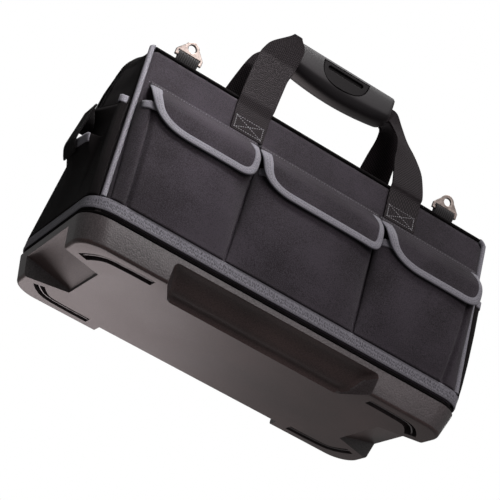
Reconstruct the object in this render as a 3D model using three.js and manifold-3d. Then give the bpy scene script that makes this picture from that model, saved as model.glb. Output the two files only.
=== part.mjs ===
// Zip-top tool bag on a moulded base: flapped front pockets, end pockets, webbing handles with a moulded grip.
// Millimetres, +Z up, front towards -Y, origin on the ground under the middle of the base.
import * as THREE from 'three';
import { mergeVertices } from 'three/addons/utils/BufferGeometryUtils.js';
import Module from 'manifold-3d';

const wasm = await Module();
wasm.setup();

// Walls and clearances
const GAP = 0.3;
const CLOTH = 2;
const POCKET_CLOTH = 1.8;
const TAPE = 0.9;
const WEBBING_THICK = 2.2;

// Moulded base
const RIM_LENGTH = 450;
const RIM_DEPTH = 225;
const RIM_CORNER = 30;
const BASE_INSET_END = 7.8;
const BASE_INSET_SIDE = 3.5;
const BASE_CORNER = 34;
const BASE_HEIGHT = 28.5;
const BASE_EDGE_ROUND = 3.5;
const TRAY_WALL = 2.6;
const RIM_GROOVE = 6.5;
const STRIP_HEIGHT = 13;
const STRIP_THICK = 1.6;
const LEDGE = 0.5;
const FRONT_SCOOP = { half: 121, taper: 19, height: 22, reach: 43 };
const END_SCOOP = { half: 61, taper: 19, height: 21, reach: 47 };
const BACK_BEVEL = { half: 114, taper: 0, height: 11, reach: 18 };
const FOOT_GROOVE = [[129, 89.5], [172, 88], [186, 82], [198, 64]];
const FOOT_GROOVE_WIDTH = 11;
const FOOT_GROOVE_RIB = 1.8;
const FOOT_GROOVE_DEEP = 1.5;

// Cloth body
const PANEL_TOP = 250.5;
const TOP_LENGTH = 434;
const TOP_DEPTH = 94;
const SEAM_FOOT_INSET = 12.5;
const TOP_CORNER = 12;
const TOP_CROWN = 8;
const SHOULDER_DROP = 24;
const SHOULDER_IN = 17;
const END_SWELL = 18.5;
const SEAM_SETBACK = 2.8;
const PIPING_RADIUS = 2.4;
const PIPING_ALONG_TOP = 22;
const HEM_RADIUS = 2;

// Zip
const ZIP_HALF = 12;
const ZIP_LOW = 176;
const ZIP_RIDGE_HALF = 3.2;
const ZIP_RIDGE_PROUD = 1.4;
const ZIP_TAB_WIDTH = 34;
const ZIP_TAB_PROUD = 4;
const ZIP_TAB_FOOT = 116;
const SLIDER = { length: 14, width: 9, height: 3.4, from: 0.8 };
const SLIDER_BRIDGE = { length: 8, width: 3.2, height: 3, at: 4.4 };
const SLIDER_PULL = { length: 26, width: 7, height: 1.6, at: 4.2 };

// Front pockets: left and right edges at the mouth and at the foot
const POCKET_MOUTH = 172;
const POCKET_DEPTH = 21;
const POCKET_TAPE_HEIGHT = 9;
const POCKETS = [
  { name: 'left', mouth: [-213, -74.5], foot: [-206, -79] },
  { name: 'middle', mouth: [-71.5, 79], foot: [-76, 75] },
  { name: 'right', mouth: [82, 213], foot: [78, 206] },
];

// Flaps: sides at the seam, how far the left and right edges spread, and the radii of the lower corners
const FLAP_SEAM = 207;
const FLAP_FOOT = 146;
const FLAP_BINDING = 8.5;
const FLAP_PROUD = 4.3;
const FLAP_DROOP = 0.26;
const FLAPS = [
  { name: 'left', left: -206, right: -75, slant: 7, cornerLeft: 46, cornerRight: 24 },
  { name: 'middle', left: -71, right: 81, slant: 2, cornerLeft: 36, cornerRight: 18 },
  { name: 'right', left: 85, right: 212, slant: 3, cornerLeft: 42, cornerRight: 26 },
];

// End pockets
const END_POCKET_MOUTH = 132;
const PLEAT_TOP = 174;
const END_POCKET_DEPTH = 14.5;
const PLEAT_PROUD = { front: 7.5, back: 1.5 };
const END_TAPE_HEIGHT = 10;

// Handles and grip
const WEBBING_WIDTH = 40;
const HANDLE_FREE = 255;
const HANDLE_LEFT = -90.5;
const HANDLE_RIGHT = 106;
const GRIP_LENGTH = 132;
const GRIP_OFFSET = -3.5;
const GRIP_CENTRE_HEIGHT = 351;
const GRIP_HALF_DEPTH = 18;
const GRIP_HEIGHT = 40;
const TONGUE_HEIGHT = 18;
const TONGUE_REACH = 9;
const TONGUE_SPACING = 9;
const FOLD_BEFORE_GRIP = 14;
const FOLD_THICK = 10;
const FOLD_OVERLAP = 0.6;
const FOLD_ABOVE_GRIP = 3;
const INSET_LENGTH = 62;
const INSET_TOP = 15.6;
const INSET_DROP = 25;
const INSET_THICK = 1.8;
const INSET_CLEARANCE = 0.5;
const INSET_SLOT_HALF = 21;
const INSET_SLOT_HEIGHT = 9;
const INSET_SLOT_RADIUS = 1.8;
const GRIP_FACE = 0.93;

// Shoulder-strap rings
const RING_LEFT = -174.5;
const RING_RIGHT = 163;
const RING_BACK_FROM_EDGE = 11;
const RING_BAR_RISE = 14.5;
const RING_TAB_ROOT = 1.2;
const RING_TAB_STEM = 1.3;
const RING_TAB_WIDTH = 24;
const RING_WIRE = 3.2;
const RING_HOLE = 4.6;
const RING_RISE = 12.8;
const RING_CLEARANCE = 0.4;
const RING_SIDE_ROOM = 1;
const RING_EYE_RIM = 1.2;
const RING_SHOULDER = 0.3;

// Sizes worked out from the ones above
const STRIP_LOW = BASE_HEIGHT + RIM_GROOVE;
const STRIP_TOP = STRIP_LOW + STRIP_HEIGHT;
const PANEL_LOW = STRIP_LOW - 1.5;
const CLOTH_INSET = STRIP_THICK + GAP;
const CLOTH_HALF_X = RIM_LENGTH / 2 - CLOTH_INSET;
const CLOTH_HALF_Y = RIM_DEPTH / 2 - CLOTH_INSET;
const CLOTH_CORNER = RIM_CORNER - CLOTH_INSET;
const LIP_INSET = CLOTH_INSET + CLOTH + GAP;
const FOOT_HALF_X = RIM_LENGTH / 2 - BASE_INSET_END;
const FOOT_HALF_Y = RIM_DEPTH / 2 - BASE_INSET_SIDE;
const SEAM_FOOT = RIM_LENGTH / 2 - SEAM_FOOT_INSET;
const SEAM_TOP = TOP_LENGTH / 2;
const PANEL_RISE = PANEL_TOP - STRIP_TOP;
const POCKET_FOOT = STRIP_TOP + 0.6;
const HANDLE_FOOT = FLAP_SEAM + GAP;
const FOLDED_LEG_RISE = GRIP_CENTRE_HEIGHT + GRIP_HEIGHT / 2 + FOLD_ABOVE_GRIP - HANDLE_FOOT;
const RING_BAR_HEIGHT = PANEL_TOP + RING_BAR_RISE;
const GRIP_X = (HANDLE_LEFT + HANDLE_RIGHT) / 2 + GRIP_OFFSET;

const clamp = (value, low, high) => Math.min(high, Math.max(low, value));
const mix = (a, b, t) => a + (b - a) * t;
const steps = (count) => Array.from({ length: count + 1 }, (_, i) => i / count);

// Value at t of a table of [place, value] rows, in straight stretches.
function table(rows, t) {
  if (t <= rows[0][0]) return rows[0][1];
  for (let i = 1; i < rows.length; i++) {
    const [t0, v0] = rows[i - 1];
    const [t1, v1] = rows[i];
    if (t <= t1) return mix(v0, v1, (t - t0) / (t1 - t0));
  }
  return rows[rows.length - 1][1];
}

// Bodies

// A closed body from points and faces of three or four corners, turned to face out.
function body(points, faces) {
  const index = [];
  for (const f of faces) {
    index.push(f[0], f[1], f[2]);
    if (f.length === 4) index.push(f[0], f[2], f[3]);
  }
  let volume = 0;
  const cross = new THREE.Vector3();
  for (let i = 0; i < index.length; i += 3) {
    cross.crossVectors(points[index[i + 1]], points[index[i + 2]]);
    volume += points[index[i]].dot(cross);
  }
  if (volume < 0) index.reverse();
  const geometry = new THREE.BufferGeometry().setFromPoints(points);
  geometry.setIndex(index);
  return geometry;
}

// A body between two grids of points that face each other.
function shell(outer, inner) {
  const rows = outer.length;
  const cols = outer[0].length;
  const points = [...outer.flat(), ...inner.flat()];
  const a = (i, j) => i * cols + j;
  const b = (i, j) => rows * cols + i * cols + j;
  const faces = [];
  for (let i = 0; i < rows - 1; i++) {
    for (let j = 0; j < cols - 1; j++) {
      faces.push([a(i, j), a(i + 1, j), a(i + 1, j + 1), a(i, j + 1)]);
      faces.push([b(i, j), b(i, j + 1), b(i + 1, j + 1), b(i + 1, j)]);
    }
    const last = cols - 1;
    faces.push([a(i + 1, 0), a(i, 0), b(i, 0), b(i + 1, 0)]);
    faces.push([a(i, last), a(i + 1, last), b(i + 1, last), b(i, last)]);
  }
  for (let j = 0; j < cols - 1; j++) {
    const last = rows - 1;
    faces.push([a(0, j), a(0, j + 1), b(0, j + 1), b(0, j)]);
    faces.push([a(last, j + 1), a(last, j), b(last, j), b(last, j + 1)]);
  }
  return body(points, faces);
}

// The same grid moved along its own normals, on the side that the hint points to.
function offsetGrid(grid, distance, hint) {
  const rows = grid.length;
  const cols = grid[0].length;
  return grid.map((row, i) => row.map((point, j) => {
    const along = new THREE.Vector3().subVectors(grid[Math.min(i + 1, rows - 1)][j], grid[Math.max(i - 1, 0)][j]);
    const across = new THREE.Vector3().subVectors(row[Math.min(j + 1, cols - 1)], row[Math.max(j - 1, 0)]);
    const normal = along.cross(across).normalize();
    if (normal.dot(hint(point)) < 0) normal.negate();
    return point.clone().addScaledVector(normal, distance);
  }));
}

const gridOf = (us, vs, at) => us.map((u) => vs.map((v) => at(u, v)));

// A sheet of cloth under a grid. The pin puts each inner point back in line with its outer one where it has to be.
function sheet(grid, thick, inward, pin = () => {}) {
  const inner = offsetGrid(grid, thick, inward);
  inner.forEach((row, i) => row.forEach((p, j) => pin(p, grid[i][j], i)));
  return shell(grid, inner);
}

// A ring of points round a rectangle with round corners.
function roundedRing(halfX, halfY, radius, z, perCorner = 8) {
  const points = [];
  const corners = [[1, -1, -90], [1, 1, 0], [-1, 1, 90], [-1, -1, 180]];
  for (const [sx, sy, start] of corners) {
    for (const t of steps(perCorner)) {
      const a = THREE.MathUtils.degToRad(start + 90 * t);
      const x = sx * (halfX - radius) + radius * Math.cos(a);
      const y = sy * (halfY - radius) + radius * Math.sin(a);
      points.push(new THREE.Vector3(x, y, z));
    }
  }
  return points;
}

// A body lofted through rings with the same number of points, closed by a flat cap at each end.
function loft(rings) {
  const count = rings[0].length;
  const points = rings.flat();
  const faces = [];
  for (let i = 0; i < rings.length - 1; i++) {
    for (let j = 0; j < count; j++) {
      const next = (j + 1) % count;
      faces.push([i * count + j, i * count + next, (i + 1) * count + next, (i + 1) * count + j]);
    }
  }
  for (const end of [0, rings.length - 1]) {
    const centre = new THREE.Vector3();
    rings[end].forEach((p) => centre.addScaledVector(p, 1 / count));
    points.push(centre);
    const hub = points.length - 1;
    for (let j = 0; j < count; j++) {
      const pair = [end * count + j, end * count + ((j + 1) % count)];
      if (end === 0) pair.reverse();
      faces.push([pair[0], pair[1], hub]);
    }
  }
  return body(points, faces);
}

// Booleans
function solid(geometry) {
  const bare = geometry.index ? geometry.toNonIndexed() : geometry.clone();
  bare.deleteAttribute('normal');
  bare.deleteAttribute('uv');
  const merged = mergeVertices(bare, 1e-4);
  return new wasm.Manifold(new wasm.Mesh({
    numProp: 3,
    vertProperties: merged.attributes.position.array,
    triVerts: new Uint32Array(merged.index.array),
  }));
}

function geometryOf(manifold) {
  const mesh = manifold.getMesh();
  const geometry = new THREE.BufferGeometry();
  const corners = new Float32Array(mesh.triVerts.length * 3);
  mesh.triVerts.forEach((vertex, i) => {
    for (let k = 0; k < 3; k++) corners[i * 3 + k] = mesh.vertProperties[vertex * mesh.numProp + k];
  });
  geometry.setAttribute('position', new THREE.BufferAttribute(corners, 3));
  return geometry;
}

// The bag's form

// Share of the way from the strip to the top edge.
const lean = (z) => clamp((z - STRIP_TOP) / PANEL_RISE, 0, 1);

function rimY(x) {
  const over = Math.max(0, Math.abs(x) - (CLOTH_HALF_X - CLOTH_CORNER));
  return CLOTH_HALF_Y - CLOTH_CORNER + Math.sqrt(Math.max(0, CLOTH_CORNER ** 2 - over ** 2));
}

function rimX(y) {
  const over = Math.max(0, Math.abs(y) - (CLOTH_HALF_Y - CLOTH_CORNER));
  return CLOTH_HALF_X - CLOTH_CORNER + Math.sqrt(Math.max(0, CLOTH_CORNER ** 2 - over ** 2));
}

const SEAM_FOOT_Y = rimY(SEAM_FOOT);
const seamX = (t) => mix(SEAM_FOOT, SEAM_TOP, t);
const seamY = (t) => mix(SEAM_FOOT_Y, TOP_DEPTH / 2, t);

// Depth from the bag's middle to the outside of the front or back cloth.
function faceDepth(x, z) {
  const t = lean(z);
  const u = clamp(x / seamX(t), -1, 1);
  return mix(rimY(u * SEAM_FOOT), TOP_DEPTH / 2, t);
}

// Swell of the end along its middle line, as shares of END_SWELL.
const SWELL = [[0, 0], [0.26, 0.08], [0.42, 0.22], [0.53, 0.5], [0.63, 1], [0.77, 0.97], [0.88, 0.8], [1, 0.3]];
const SWELL_SHARPNESS = 1.5;

function endReach(v, z) {
  const t = lean(z);
  const flat = mix(rimX(v * SEAM_FOOT_Y), SEAM_TOP, t);
  return flat + END_SWELL * table(SWELL, t) * (1 - Math.abs(v)) ** SWELL_SHARPNESS;
}

// One section of the gusset. s runs 0 to 1 up the end, 1 to 2 round the corner and 2 to 3 to the middle of the top.
function gussetPoint(side, s, v, low) {
  const across = 1 - v * v;
  const cornerLow = PANEL_TOP - mix(TOP_CORNER, SHOULDER_DROP, across);
  const cornerIn = SEAM_TOP - mix(TOP_CORNER, SHOULDER_IN, across);
  const top = PANEL_TOP + TOP_CROWN * across;
  if (s <= 1) {
    const z = mix(low, cornerLow, s);
    const seamZ = mix(low, PANEL_TOP - TOP_CORNER, s);
    return new THREE.Vector3(side * endReach(v, z), v * seamY(lean(seamZ)), z);
  }
  const angle = (Math.min(s, 2) - 1) * Math.PI / 2;
  const seamZ = PANEL_TOP - TOP_CORNER + TOP_CORNER * Math.sin(angle);
  const start = endReach(v, cornerLow);
  const x = mix(cornerIn, start, Math.cos(angle));
  const z = mix(cornerLow, top, Math.sin(angle));
  const along = s > 2 ? 3 - s : 1;
  return new THREE.Vector3(side * x * along, v * seamY(lean(seamZ)), z);
}

const towardsMiddle = (p) => new THREE.Vector3(-p.x * 0.5, -p.y, 130 - p.z);

// Moulded base

// A wedge cut from the lower edge of a wall that faces -Y: half its length, how much each end tapers, height, reach.
function wedge({ half, taper, height, reach }, wallAt, grow) {
  const slope = height / reach;
  const out = 12;
  const below = 6;
  const lift = grow * Math.hypot(1, slope);
  const front = -(wallAt + out);
  const back = -(wallAt - reach) + (below + lift) / slope;
  const halfFront = half + taper * out / reach + grow;
  const halfBack = half - taper * (1 + (below + lift) / height) + grow;
  const points = [
    [-halfFront, front, -below], [halfFront, front, -below],
    [halfFront, front, height + out * slope + lift], [-halfFront, front, height + out * slope + lift],
    [-halfBack, back, -below], [halfBack, back, -below],
  ].map((p) => new THREE.Vector3(...p));
  return body(points, [[0, 1, 2, 3], [0, 4, 5, 1], [3, 2, 5, 4], [0, 3, 4], [1, 5, 2]]);
}

const BASE_CUTS = [
  { cut: FRONT_SCOOP, wall: FOOT_HALF_Y, turn: 0 },
  { cut: BACK_BEVEL, wall: FOOT_HALF_Y, turn: Math.PI },
  { cut: END_SCOOP, wall: FOOT_HALF_X, turn: Math.PI / 2 },
  { cut: END_SCOOP, wall: FOOT_HALF_X, turn: -Math.PI / 2 },
];

// A flat ribbon of the given width along a path of [x, y] points, as a shape.
function ribbon(path, width) {
  const left = [];
  const right = [];
  path.forEach((p, i) => {
    const a = path[Math.max(i - 1, 0)];
    const b = path[Math.min(i + 1, path.length - 1)];
    const length = Math.hypot(b[0] - a[0], b[1] - a[1]);
    const nx = -(b[1] - a[1]) / length;
    const ny = (b[0] - a[0]) / length;
    left.push(new THREE.Vector2(p[0] + nx * width / 2, p[1] + ny * width / 2));
    right.push(new THREE.Vector2(p[0] - nx * width / 2, p[1] - ny * width / 2));
  });
  return new THREE.Shape([...left, ...right.reverse()]);
}

function footGroove(sideX, sideY) {
  const path = FOOT_GROOVE.map(([x, y]) => [sideX * x, sideY * y]);
  const options = { depth: 2 * FOOT_GROOVE_DEEP, bevelEnabled: false };
  const channel = solid(new THREE.ExtrudeGeometry(ribbon(path, FOOT_GROOVE_WIDTH), options));
  const rib = solid(new THREE.ExtrudeGeometry(ribbon(path, FOOT_GROOVE_RIB), options));
  return channel.subtract(rib).translate([0, 0, -FOOT_GROOVE_DEEP]);
}

function baseTray() {
  const rings = steps(3).map((t) => {
    const inset = BASE_EDGE_ROUND * (1 - Math.sin(t * Math.PI / 2));
    const z = BASE_EDGE_ROUND * (1 - Math.cos(t * Math.PI / 2));
    return roundedRing(FOOT_HALF_X - inset, FOOT_HALF_Y - inset, BASE_CORNER - inset, z);
  });
  const top = STRIP_TOP - LEDGE;
  const rimHalf = [RIM_LENGTH / 2 - LEDGE, RIM_DEPTH / 2 - LEDGE, RIM_CORNER - LEDGE];
  const lipHalf = [RIM_LENGTH / 2 - LIP_INSET, RIM_DEPTH / 2 - LIP_INSET, RIM_CORNER - LIP_INSET];
  rings.push(roundedRing(...rimHalf, BASE_HEIGHT), roundedRing(...lipHalf, BASE_HEIGHT));
  rings.push(roundedRing(...lipHalf, top));
  let tray = solid(loft(rings));
  const inX = lipHalf[0] - TRAY_WALL;
  const inY = lipHalf[1] - TRAY_WALL;
  const inCorner = lipHalf[2] - TRAY_WALL;
  const draw = BASE_INSET_END / 2;
  let room = solid(loft([
    roundedRing(inX - draw, inY - BASE_INSET_SIDE / 2, inCorner, TRAY_WALL),
    roundedRing(inX, inY, inCorner, BASE_HEIGHT),
    roundedRing(inX, inY, inCorner, top + TRAY_WALL),
  ]));
  for (const { cut, wall, turn } of BASE_CUTS) {
    tray = tray.subtract(solid(wedge(cut, wall, 0).rotateZ(turn)));
    room = room.subtract(solid(wedge(cut, wall, TRAY_WALL).rotateZ(turn)));
  }
  tray = tray.subtract(room);
  for (const x of [-1, 1]) for (const y of [-1, 1]) tray = tray.subtract(footGroove(x, y));
  return geometryOf(tray);
}

function baseStrip() {
  const outer = [RIM_LENGTH / 2, RIM_DEPTH / 2, RIM_CORNER];
  const inner = outer.map((size) => size - STRIP_THICK);
  const outside = loft([roundedRing(...outer, STRIP_LOW), roundedRing(...outer, STRIP_TOP)]);
  const inside = loft([roundedRing(...inner, STRIP_LOW - 1), roundedRing(...inner, STRIP_TOP + 1)]);
  return geometryOf(solid(outside).subtract(solid(inside)));
}

// Cloth faces
function facePanel(sideY) {
  const us = [-1, -0.985, -0.96, -0.93, -0.6, 0, 0.6, 0.93, 0.96, 0.985, 1];
  const ws = [0, (STRIP_TOP - PANEL_LOW) / (PANEL_TOP - PANEL_LOW), 0.2, 0.4, 0.6, 0.8, 0.92, 1];
  const corner = TOP_CORNER;
  return sheet(gridOf(ws, us, (w, u) => {
    const x = u * (SEAM_TOP - SEAM_SETBACK);
    const over = Math.max(0, Math.abs(x) - (SEAM_TOP - SEAM_SETBACK - corner)) / corner;
    const top = PANEL_TOP - SEAM_SETBACK - corner * (1 - Math.sqrt(Math.max(0, 1 - over * over)));
    const z = mix(PANEL_LOW, top, w);
    const edge = seamX(lean(z)) - SEAM_SETBACK;
    return new THREE.Vector3(u * edge, sideY * faceDepth(u * edge, z), z);
  }), CLOTH, towardsMiddle);
}

function endPanel(side) {
  const vs = [-1, -0.955, -0.91, -0.865, -0.81, -0.5, -0.22, 0, 0.22, 0.5, 0.81, 0.865, 0.91, 0.955, 1];
  const zs = [PANEL_LOW, STRIP_TOP, mix(STRIP_TOP, ZIP_LOW, 0.25), mix(STRIP_TOP, ZIP_LOW, 0.5),
    mix(STRIP_TOP, ZIP_LOW, 0.75), ZIP_LOW];
  return sheet(gridOf(zs, vs, (z, v) => {
    const wide = seamY(lean(z));
    const share = v * (1 - SEAM_SETBACK / wide);
    return new THREE.Vector3(side * endReach(share, z), share * wide, z);
  }), CLOTH, towardsMiddle, (p, q) => p.setZ(q.z));
}

// Places along the whole gusset, from one zip end over the top to the other.
const UP_GUSSET = [0, 0.3, 0.6, 1, 1.25, 1.5, 1.75, 2, 2.4];
const LEFT_STATIONS = UP_GUSSET.map((s) => [-1, s]);
const RIGHT_STATIONS = UP_GUSSET.map((s) => [1, s]).reverse();
const GUSSET_STATIONS = [...LEFT_STATIONS, [-1, 3], ...RIGHT_STATIONS];

// The gusset's pieces keep their widths through the cloth, and end level above the end panels.
function pinGusset(p, q, i) {
  p.setY(q.y);
  if (i === 0 || i === GUSSET_STATIONS.length - 1) p.setZ(q.z);
}

function gussetBand(sideY) {
  const low = ZIP_LOW + GAP;
  return sheet(gridOf(GUSSET_STATIONS, steps(4), ([side, s], w) => {
    const wide = gussetPoint(side, s, 1, low).y;
    const v = mix(1 - SEAM_SETBACK / wide, (ZIP_HALF + GAP) / wide, w);
    return gussetPoint(side, s, sideY * v, low);
  }), CLOTH, towardsMiddle, pinGusset);
}

function zip() {
  const low = ZIP_LOW + GAP;
  const columns = [[-ZIP_HALF, 0], [-ZIP_RIDGE_HALF - 0.4, 0], [-ZIP_RIDGE_HALF, ZIP_RIDGE_PROUD],
    [ZIP_RIDGE_HALF, ZIP_RIDGE_PROUD], [ZIP_RIDGE_HALF + 0.4, 0], [ZIP_HALF, 0]];
  const flat = gridOf(GUSSET_STATIONS, columns, ([side, s], [y]) => {
    const wide = gussetPoint(side, s, 1, low).y;
    const point = gussetPoint(side, s, ZIP_HALF / wide, low);
    return point.setY(y);
  });
  const inner = offsetGrid(flat, CLOTH, towardsMiddle);
  inner.forEach((row, i) => row.forEach((p, j) => pinGusset(p, flat[i][j], i)));
  const lifted = offsetGrid(flat, -1, towardsMiddle);
  const outer = flat.map((row, i) => row.map((p, j) => p.clone().lerp(lifted[i][j], columns[j][1])));
  return shell(outer, inner);
}

// A slider on the zip's top with its pull lying along the tape.
function zipSlider() {
  const ride = gussetPoint(1, 3, 0, ZIP_LOW).z + ZIP_RIDGE_PROUD + GAP;
  const block = ({ length, width, height }) => new THREE.BoxGeometry(length, width, height);
  const slider = block(SLIDER).translate(0, 0, SLIDER.height / 2);
  const bridge = block(SLIDER_BRIDGE).translate(0, 0, SLIDER_BRIDGE.at);
  const pull = block(SLIDER_PULL).translate(-SLIDER_PULL.length / 2, 0, SLIDER_PULL.at);
  const whole = solid(slider).add(solid(bridge)).add(solid(pull));
  return geometryOf(whole.translate([SEAM_TOP * SLIDER.from, 0, ride]));
}

// Cord bodies
function cord(points, radius, sides = 7) {
  const curve = new THREE.CatmullRomCurve3(points, false, 'centripetal');
  const section = new THREE.Shape(steps(sides).slice(0, sides).map((t) => {
    const a = t * 2 * Math.PI;
    return new THREE.Vector2(radius * Math.cos(a), radius * Math.sin(a));
  }));
  const count = Math.round(points.length * 1.5);
  return new THREE.ExtrudeGeometry(section, { steps: count, extrudePath: curve, bevelEnabled: false });
}

function piping(side, sideY) {
  const points = [];
  const low = STRIP_TOP + PIPING_RADIUS * 0.3;
  for (const t of steps(4)) points.push(gussetPoint(side, t, sideY, low));
  for (const s of [1.33, 1.67, 2]) points.push(gussetPoint(side, s, sideY, low));
  const end = points[points.length - 1].clone();
  points.push(end.setX(side * (SEAM_TOP - PIPING_ALONG_TOP)));
  return cord(points, PIPING_RADIUS);
}

function topHem(sideY) {
  const reach = SEAM_TOP - PIPING_ALONG_TOP - GAP;
  const points = [-1, -0.5, 0, 0.5, 1].map((u) => new THREE.Vector3(u * reach, sideY * TOP_DEPTH / 2, PANEL_TOP));
  return cord(points, HEM_RADIUS);
}

// Front pockets

// Bulge up the pocket, as shares of its height and of POCKET_DEPTH.
const POCKET_BULGE = [[0, 0.02], [0.1, 0.2], [0.35, 0.56], [0.65, 0.84], [1, 1]];
const POCKET_SQUARENESS = 6;
const pocketShare = (z) => clamp((z - POCKET_FOOT) / (POCKET_MOUTH - POCKET_FOOT), 0, 1);
const pocketBulge = (z) => POCKET_DEPTH * table(POCKET_BULGE, pocketShare(z));

function pocketX(pocket, u, z) {
  const w = pocketShare(z);
  const left = mix(pocket.foot[0], pocket.mouth[0], w);
  const right = mix(pocket.foot[1], pocket.mouth[1], w);
  return mix(left, right, (u + 1) / 2);
}

// A point on the pocket's outside, moved out by a further distance.
function pocketPoint(pocket, u, z, out) {
  const x = pocketX(pocket, u, z);
  const share = Math.sqrt(Math.max(0, 1 - Math.abs(u) ** POCKET_SQUARENESS));
  const depth = GAP + POCKET_CLOTH + pocketBulge(z) * share + out;
  return new THREE.Vector3(x, -faceDepth(x, z) - depth, z);
}

const POCKET_COLUMNS = [-1, -0.975, -0.92, -0.8, -0.45, 0, 0.45, 0.8, 0.92, 0.975, 1];

function frontPocket(pocket) {
  const zs = [0, 0.1, 0.25, 0.45, 0.7, 0.86, 1].map((w) => mix(POCKET_FOOT, POCKET_MOUTH, w));
  const outer = gridOf(zs, POCKET_COLUMNS, (z, u) => pocketPoint(pocket, u, z, 0));
  const inner = offsetGrid(outer, POCKET_CLOTH, () => new THREE.Vector3(0, 1, 0));
  for (const p of inner.flat()) {
    p.y = Math.min(p.y, -faceDepth(p.x, p.z) - GAP);
    p.z = clamp(p.z, POCKET_FOOT, POCKET_MOUTH);
  }
  return shell(outer, inner);
}

function pocketTape(pocket) {
  const zs = [POCKET_MOUTH - POCKET_TAPE_HEIGHT, POCKET_MOUTH - POCKET_TAPE_HEIGHT / 2, POCKET_MOUTH + GAP];
  const columns = POCKET_COLUMNS.slice(1, -1);
  const outer = gridOf(zs, columns, (z, u) => pocketPoint(pocket, u, Math.min(z, POCKET_MOUTH), GAP + TAPE).setZ(z));
  return shell(outer, outer.map((row) => row.map((p) => p.clone().setY(p.y + TAPE))));
}

// Flaps

// How far the flap stands out from the front cloth at a height, in its middle.
function flapOut(z) {
  const over = clamp((FLAP_SEAM - z) / (FLAP_SEAM - POCKET_MOUTH), 0, 1);
  const lift = Math.sin(over * Math.PI / 2) ** 1.4;
  return pocketBulge(Math.min(z, POCKET_MOUTH)) * lift + FLAP_PROUD * lift;
}

function flapPoint(flap, x, z, out) {
  const u = (2 * x - flap.left - flap.right) / (flap.right - flap.left);
  const droop = 1 - FLAP_DROOP * Math.abs(u) ** 8;
  const depth = GAP + flapOut(z) * droop + out;
  return new THREE.Vector3(x, -faceDepth(x, z) - depth, z);
}

// The flap's outline from its top left corner round the bottom to its top right corner.
function flapOutline(flap) {
  const path = new THREE.Path();
  path.moveTo(flap.left - flap.slant, FLAP_SEAM - FLAP_BINDING);
  path.lineTo(flap.left, FLAP_FOOT + flap.cornerLeft);
  path.quadraticCurveTo(flap.left + flap.slant * 0.3, FLAP_FOOT, flap.left + flap.cornerLeft * 1.1, FLAP_FOOT);
  path.lineTo(flap.right - flap.cornerRight, FLAP_FOOT);
  path.quadraticCurveTo(flap.right, FLAP_FOOT, flap.right, FLAP_FOOT + flap.cornerRight);
  path.lineTo(flap.right, FLAP_SEAM - FLAP_BINDING);
  return path.getSpacedPoints(30);
}

// An outline moved inwards, to its left as it runs.
function insetOutline(outline, distance) {
  return outline.map((p, i) => {
    const a = outline[Math.max(i - 1, 0)];
    const b = outline[Math.min(i + 1, outline.length - 1)];
    const length = a.distanceTo(b);
    return new THREE.Vector2(p.x - (b.y - a.y) / length * distance, p.y + (b.x - a.x) / length * distance);
  });
}

function flapSheet(flap) {
  const inset = insetOutline(flapOutline(flap), FLAP_BINDING + GAP);
  const crown = [[inset[inset.length - 1].x, FLAP_SEAM], [inset[0].x, FLAP_SEAM]];
  const shape = new THREE.Shape([...inset, ...crown.map((p) => new THREE.Vector2(...p))]);
  const spread = FLAP_BINDING - flap.slant;
  const zs = steps(7).map((t) => mix(FLAP_SEAM + 1, FLAP_FOOT + 1, Math.sin(t * Math.PI / 2)));
  const us = [0, 0.04, 0.12, 0.3, 0.5, 0.7, 0.88, 0.96, 1];
  const cloth = solid(sheet(gridOf(zs, us, (z, u) => {
    return flapPoint(flap, mix(flap.left + spread, flap.right - spread, u), z, 0);
  }), -POCKET_CLOTH, () => new THREE.Vector3(0, 1, 0)));
  const cutter = new THREE.ExtrudeGeometry(shape, { depth: RIM_DEPTH, bevelEnabled: false });
  return geometryOf(cloth.intersect(solid(cutter.rotateX(Math.PI / 2))));
}

function flapBinding(flap) {
  const outer = flapOutline(flap);
  const inner = insetOutline(outer, FLAP_BINDING);
  const middle = insetOutline(outer, FLAP_BINDING / 2);
  const front = outer.map((p, i) => [p, middle[i], inner[i]].map((q, k) => {
    const crown = k === 1 ? 0.5 : 0;
    return flapPoint(flap, q.x, q.y, POCKET_CLOTH + TAPE + crown);
  }));
  const back = front.map((row, i) => row.map((p, k) => {
    const q = [outer, middle, inner][k][i];
    return flapPoint(flap, q.x, q.y, -TAPE * 0.4);
  }));
  return shell(front, back);
}

// End pockets, from front to back: place across the end as a share, how far each column stands out, and which
// mouth it ends at. The boxed part is pushed out in front and lies flatter behind the tab.
const END_COLUMNS = [
  { v: -0.955, pleat: 0, box: 0, mouth: 1 },
  { v: -0.93, pleat: 1, box: 0, mouth: 1 },
  { v: -0.86, pleat: 1, box: 0, mouth: 1 },
  { v: -0.8, pleat: 0.15, box: 0, mouth: 0.95 },
  { v: -0.62, pleat: 0, box: 0.08, mouth: 0.2 },
  { v: -0.55, pleat: 0, box: 0.12, mouth: 0 },
  { v: -0.5, pleat: 0, box: 0.9, mouth: 0 },
  { v: -0.44, pleat: 0, box: 1, mouth: 0 },
  { v: -0.2, pleat: 0, box: 1.03, mouth: 0 },
  { v: 0, pleat: 0, box: 1.03, mouth: 0 },
  { v: 0.2, pleat: 0, box: 1, mouth: 0 },
  { v: 0.27, pleat: 0, box: 0.9, mouth: 0 },
  { v: 0.32, pleat: 0, box: 0.12, mouth: 0 },
  { v: 0.55, pleat: 0, box: 0.05, mouth: 0.1 },
  { v: 0.8, pleat: 0.15, box: 0, mouth: 0.95 },
  { v: 0.86, pleat: 1, box: 0, mouth: 1 },
  { v: 0.93, pleat: 1, box: 0, mouth: 1 },
  { v: 0.955, pleat: 0, box: 0, mouth: 1 },
];
const BOX_BULGE = [[0, 0.02], [0.35, 0.14], [0.62, 0.3], [0.76, 0.5], [0.88, 0.86], [1, 1]];
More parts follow.
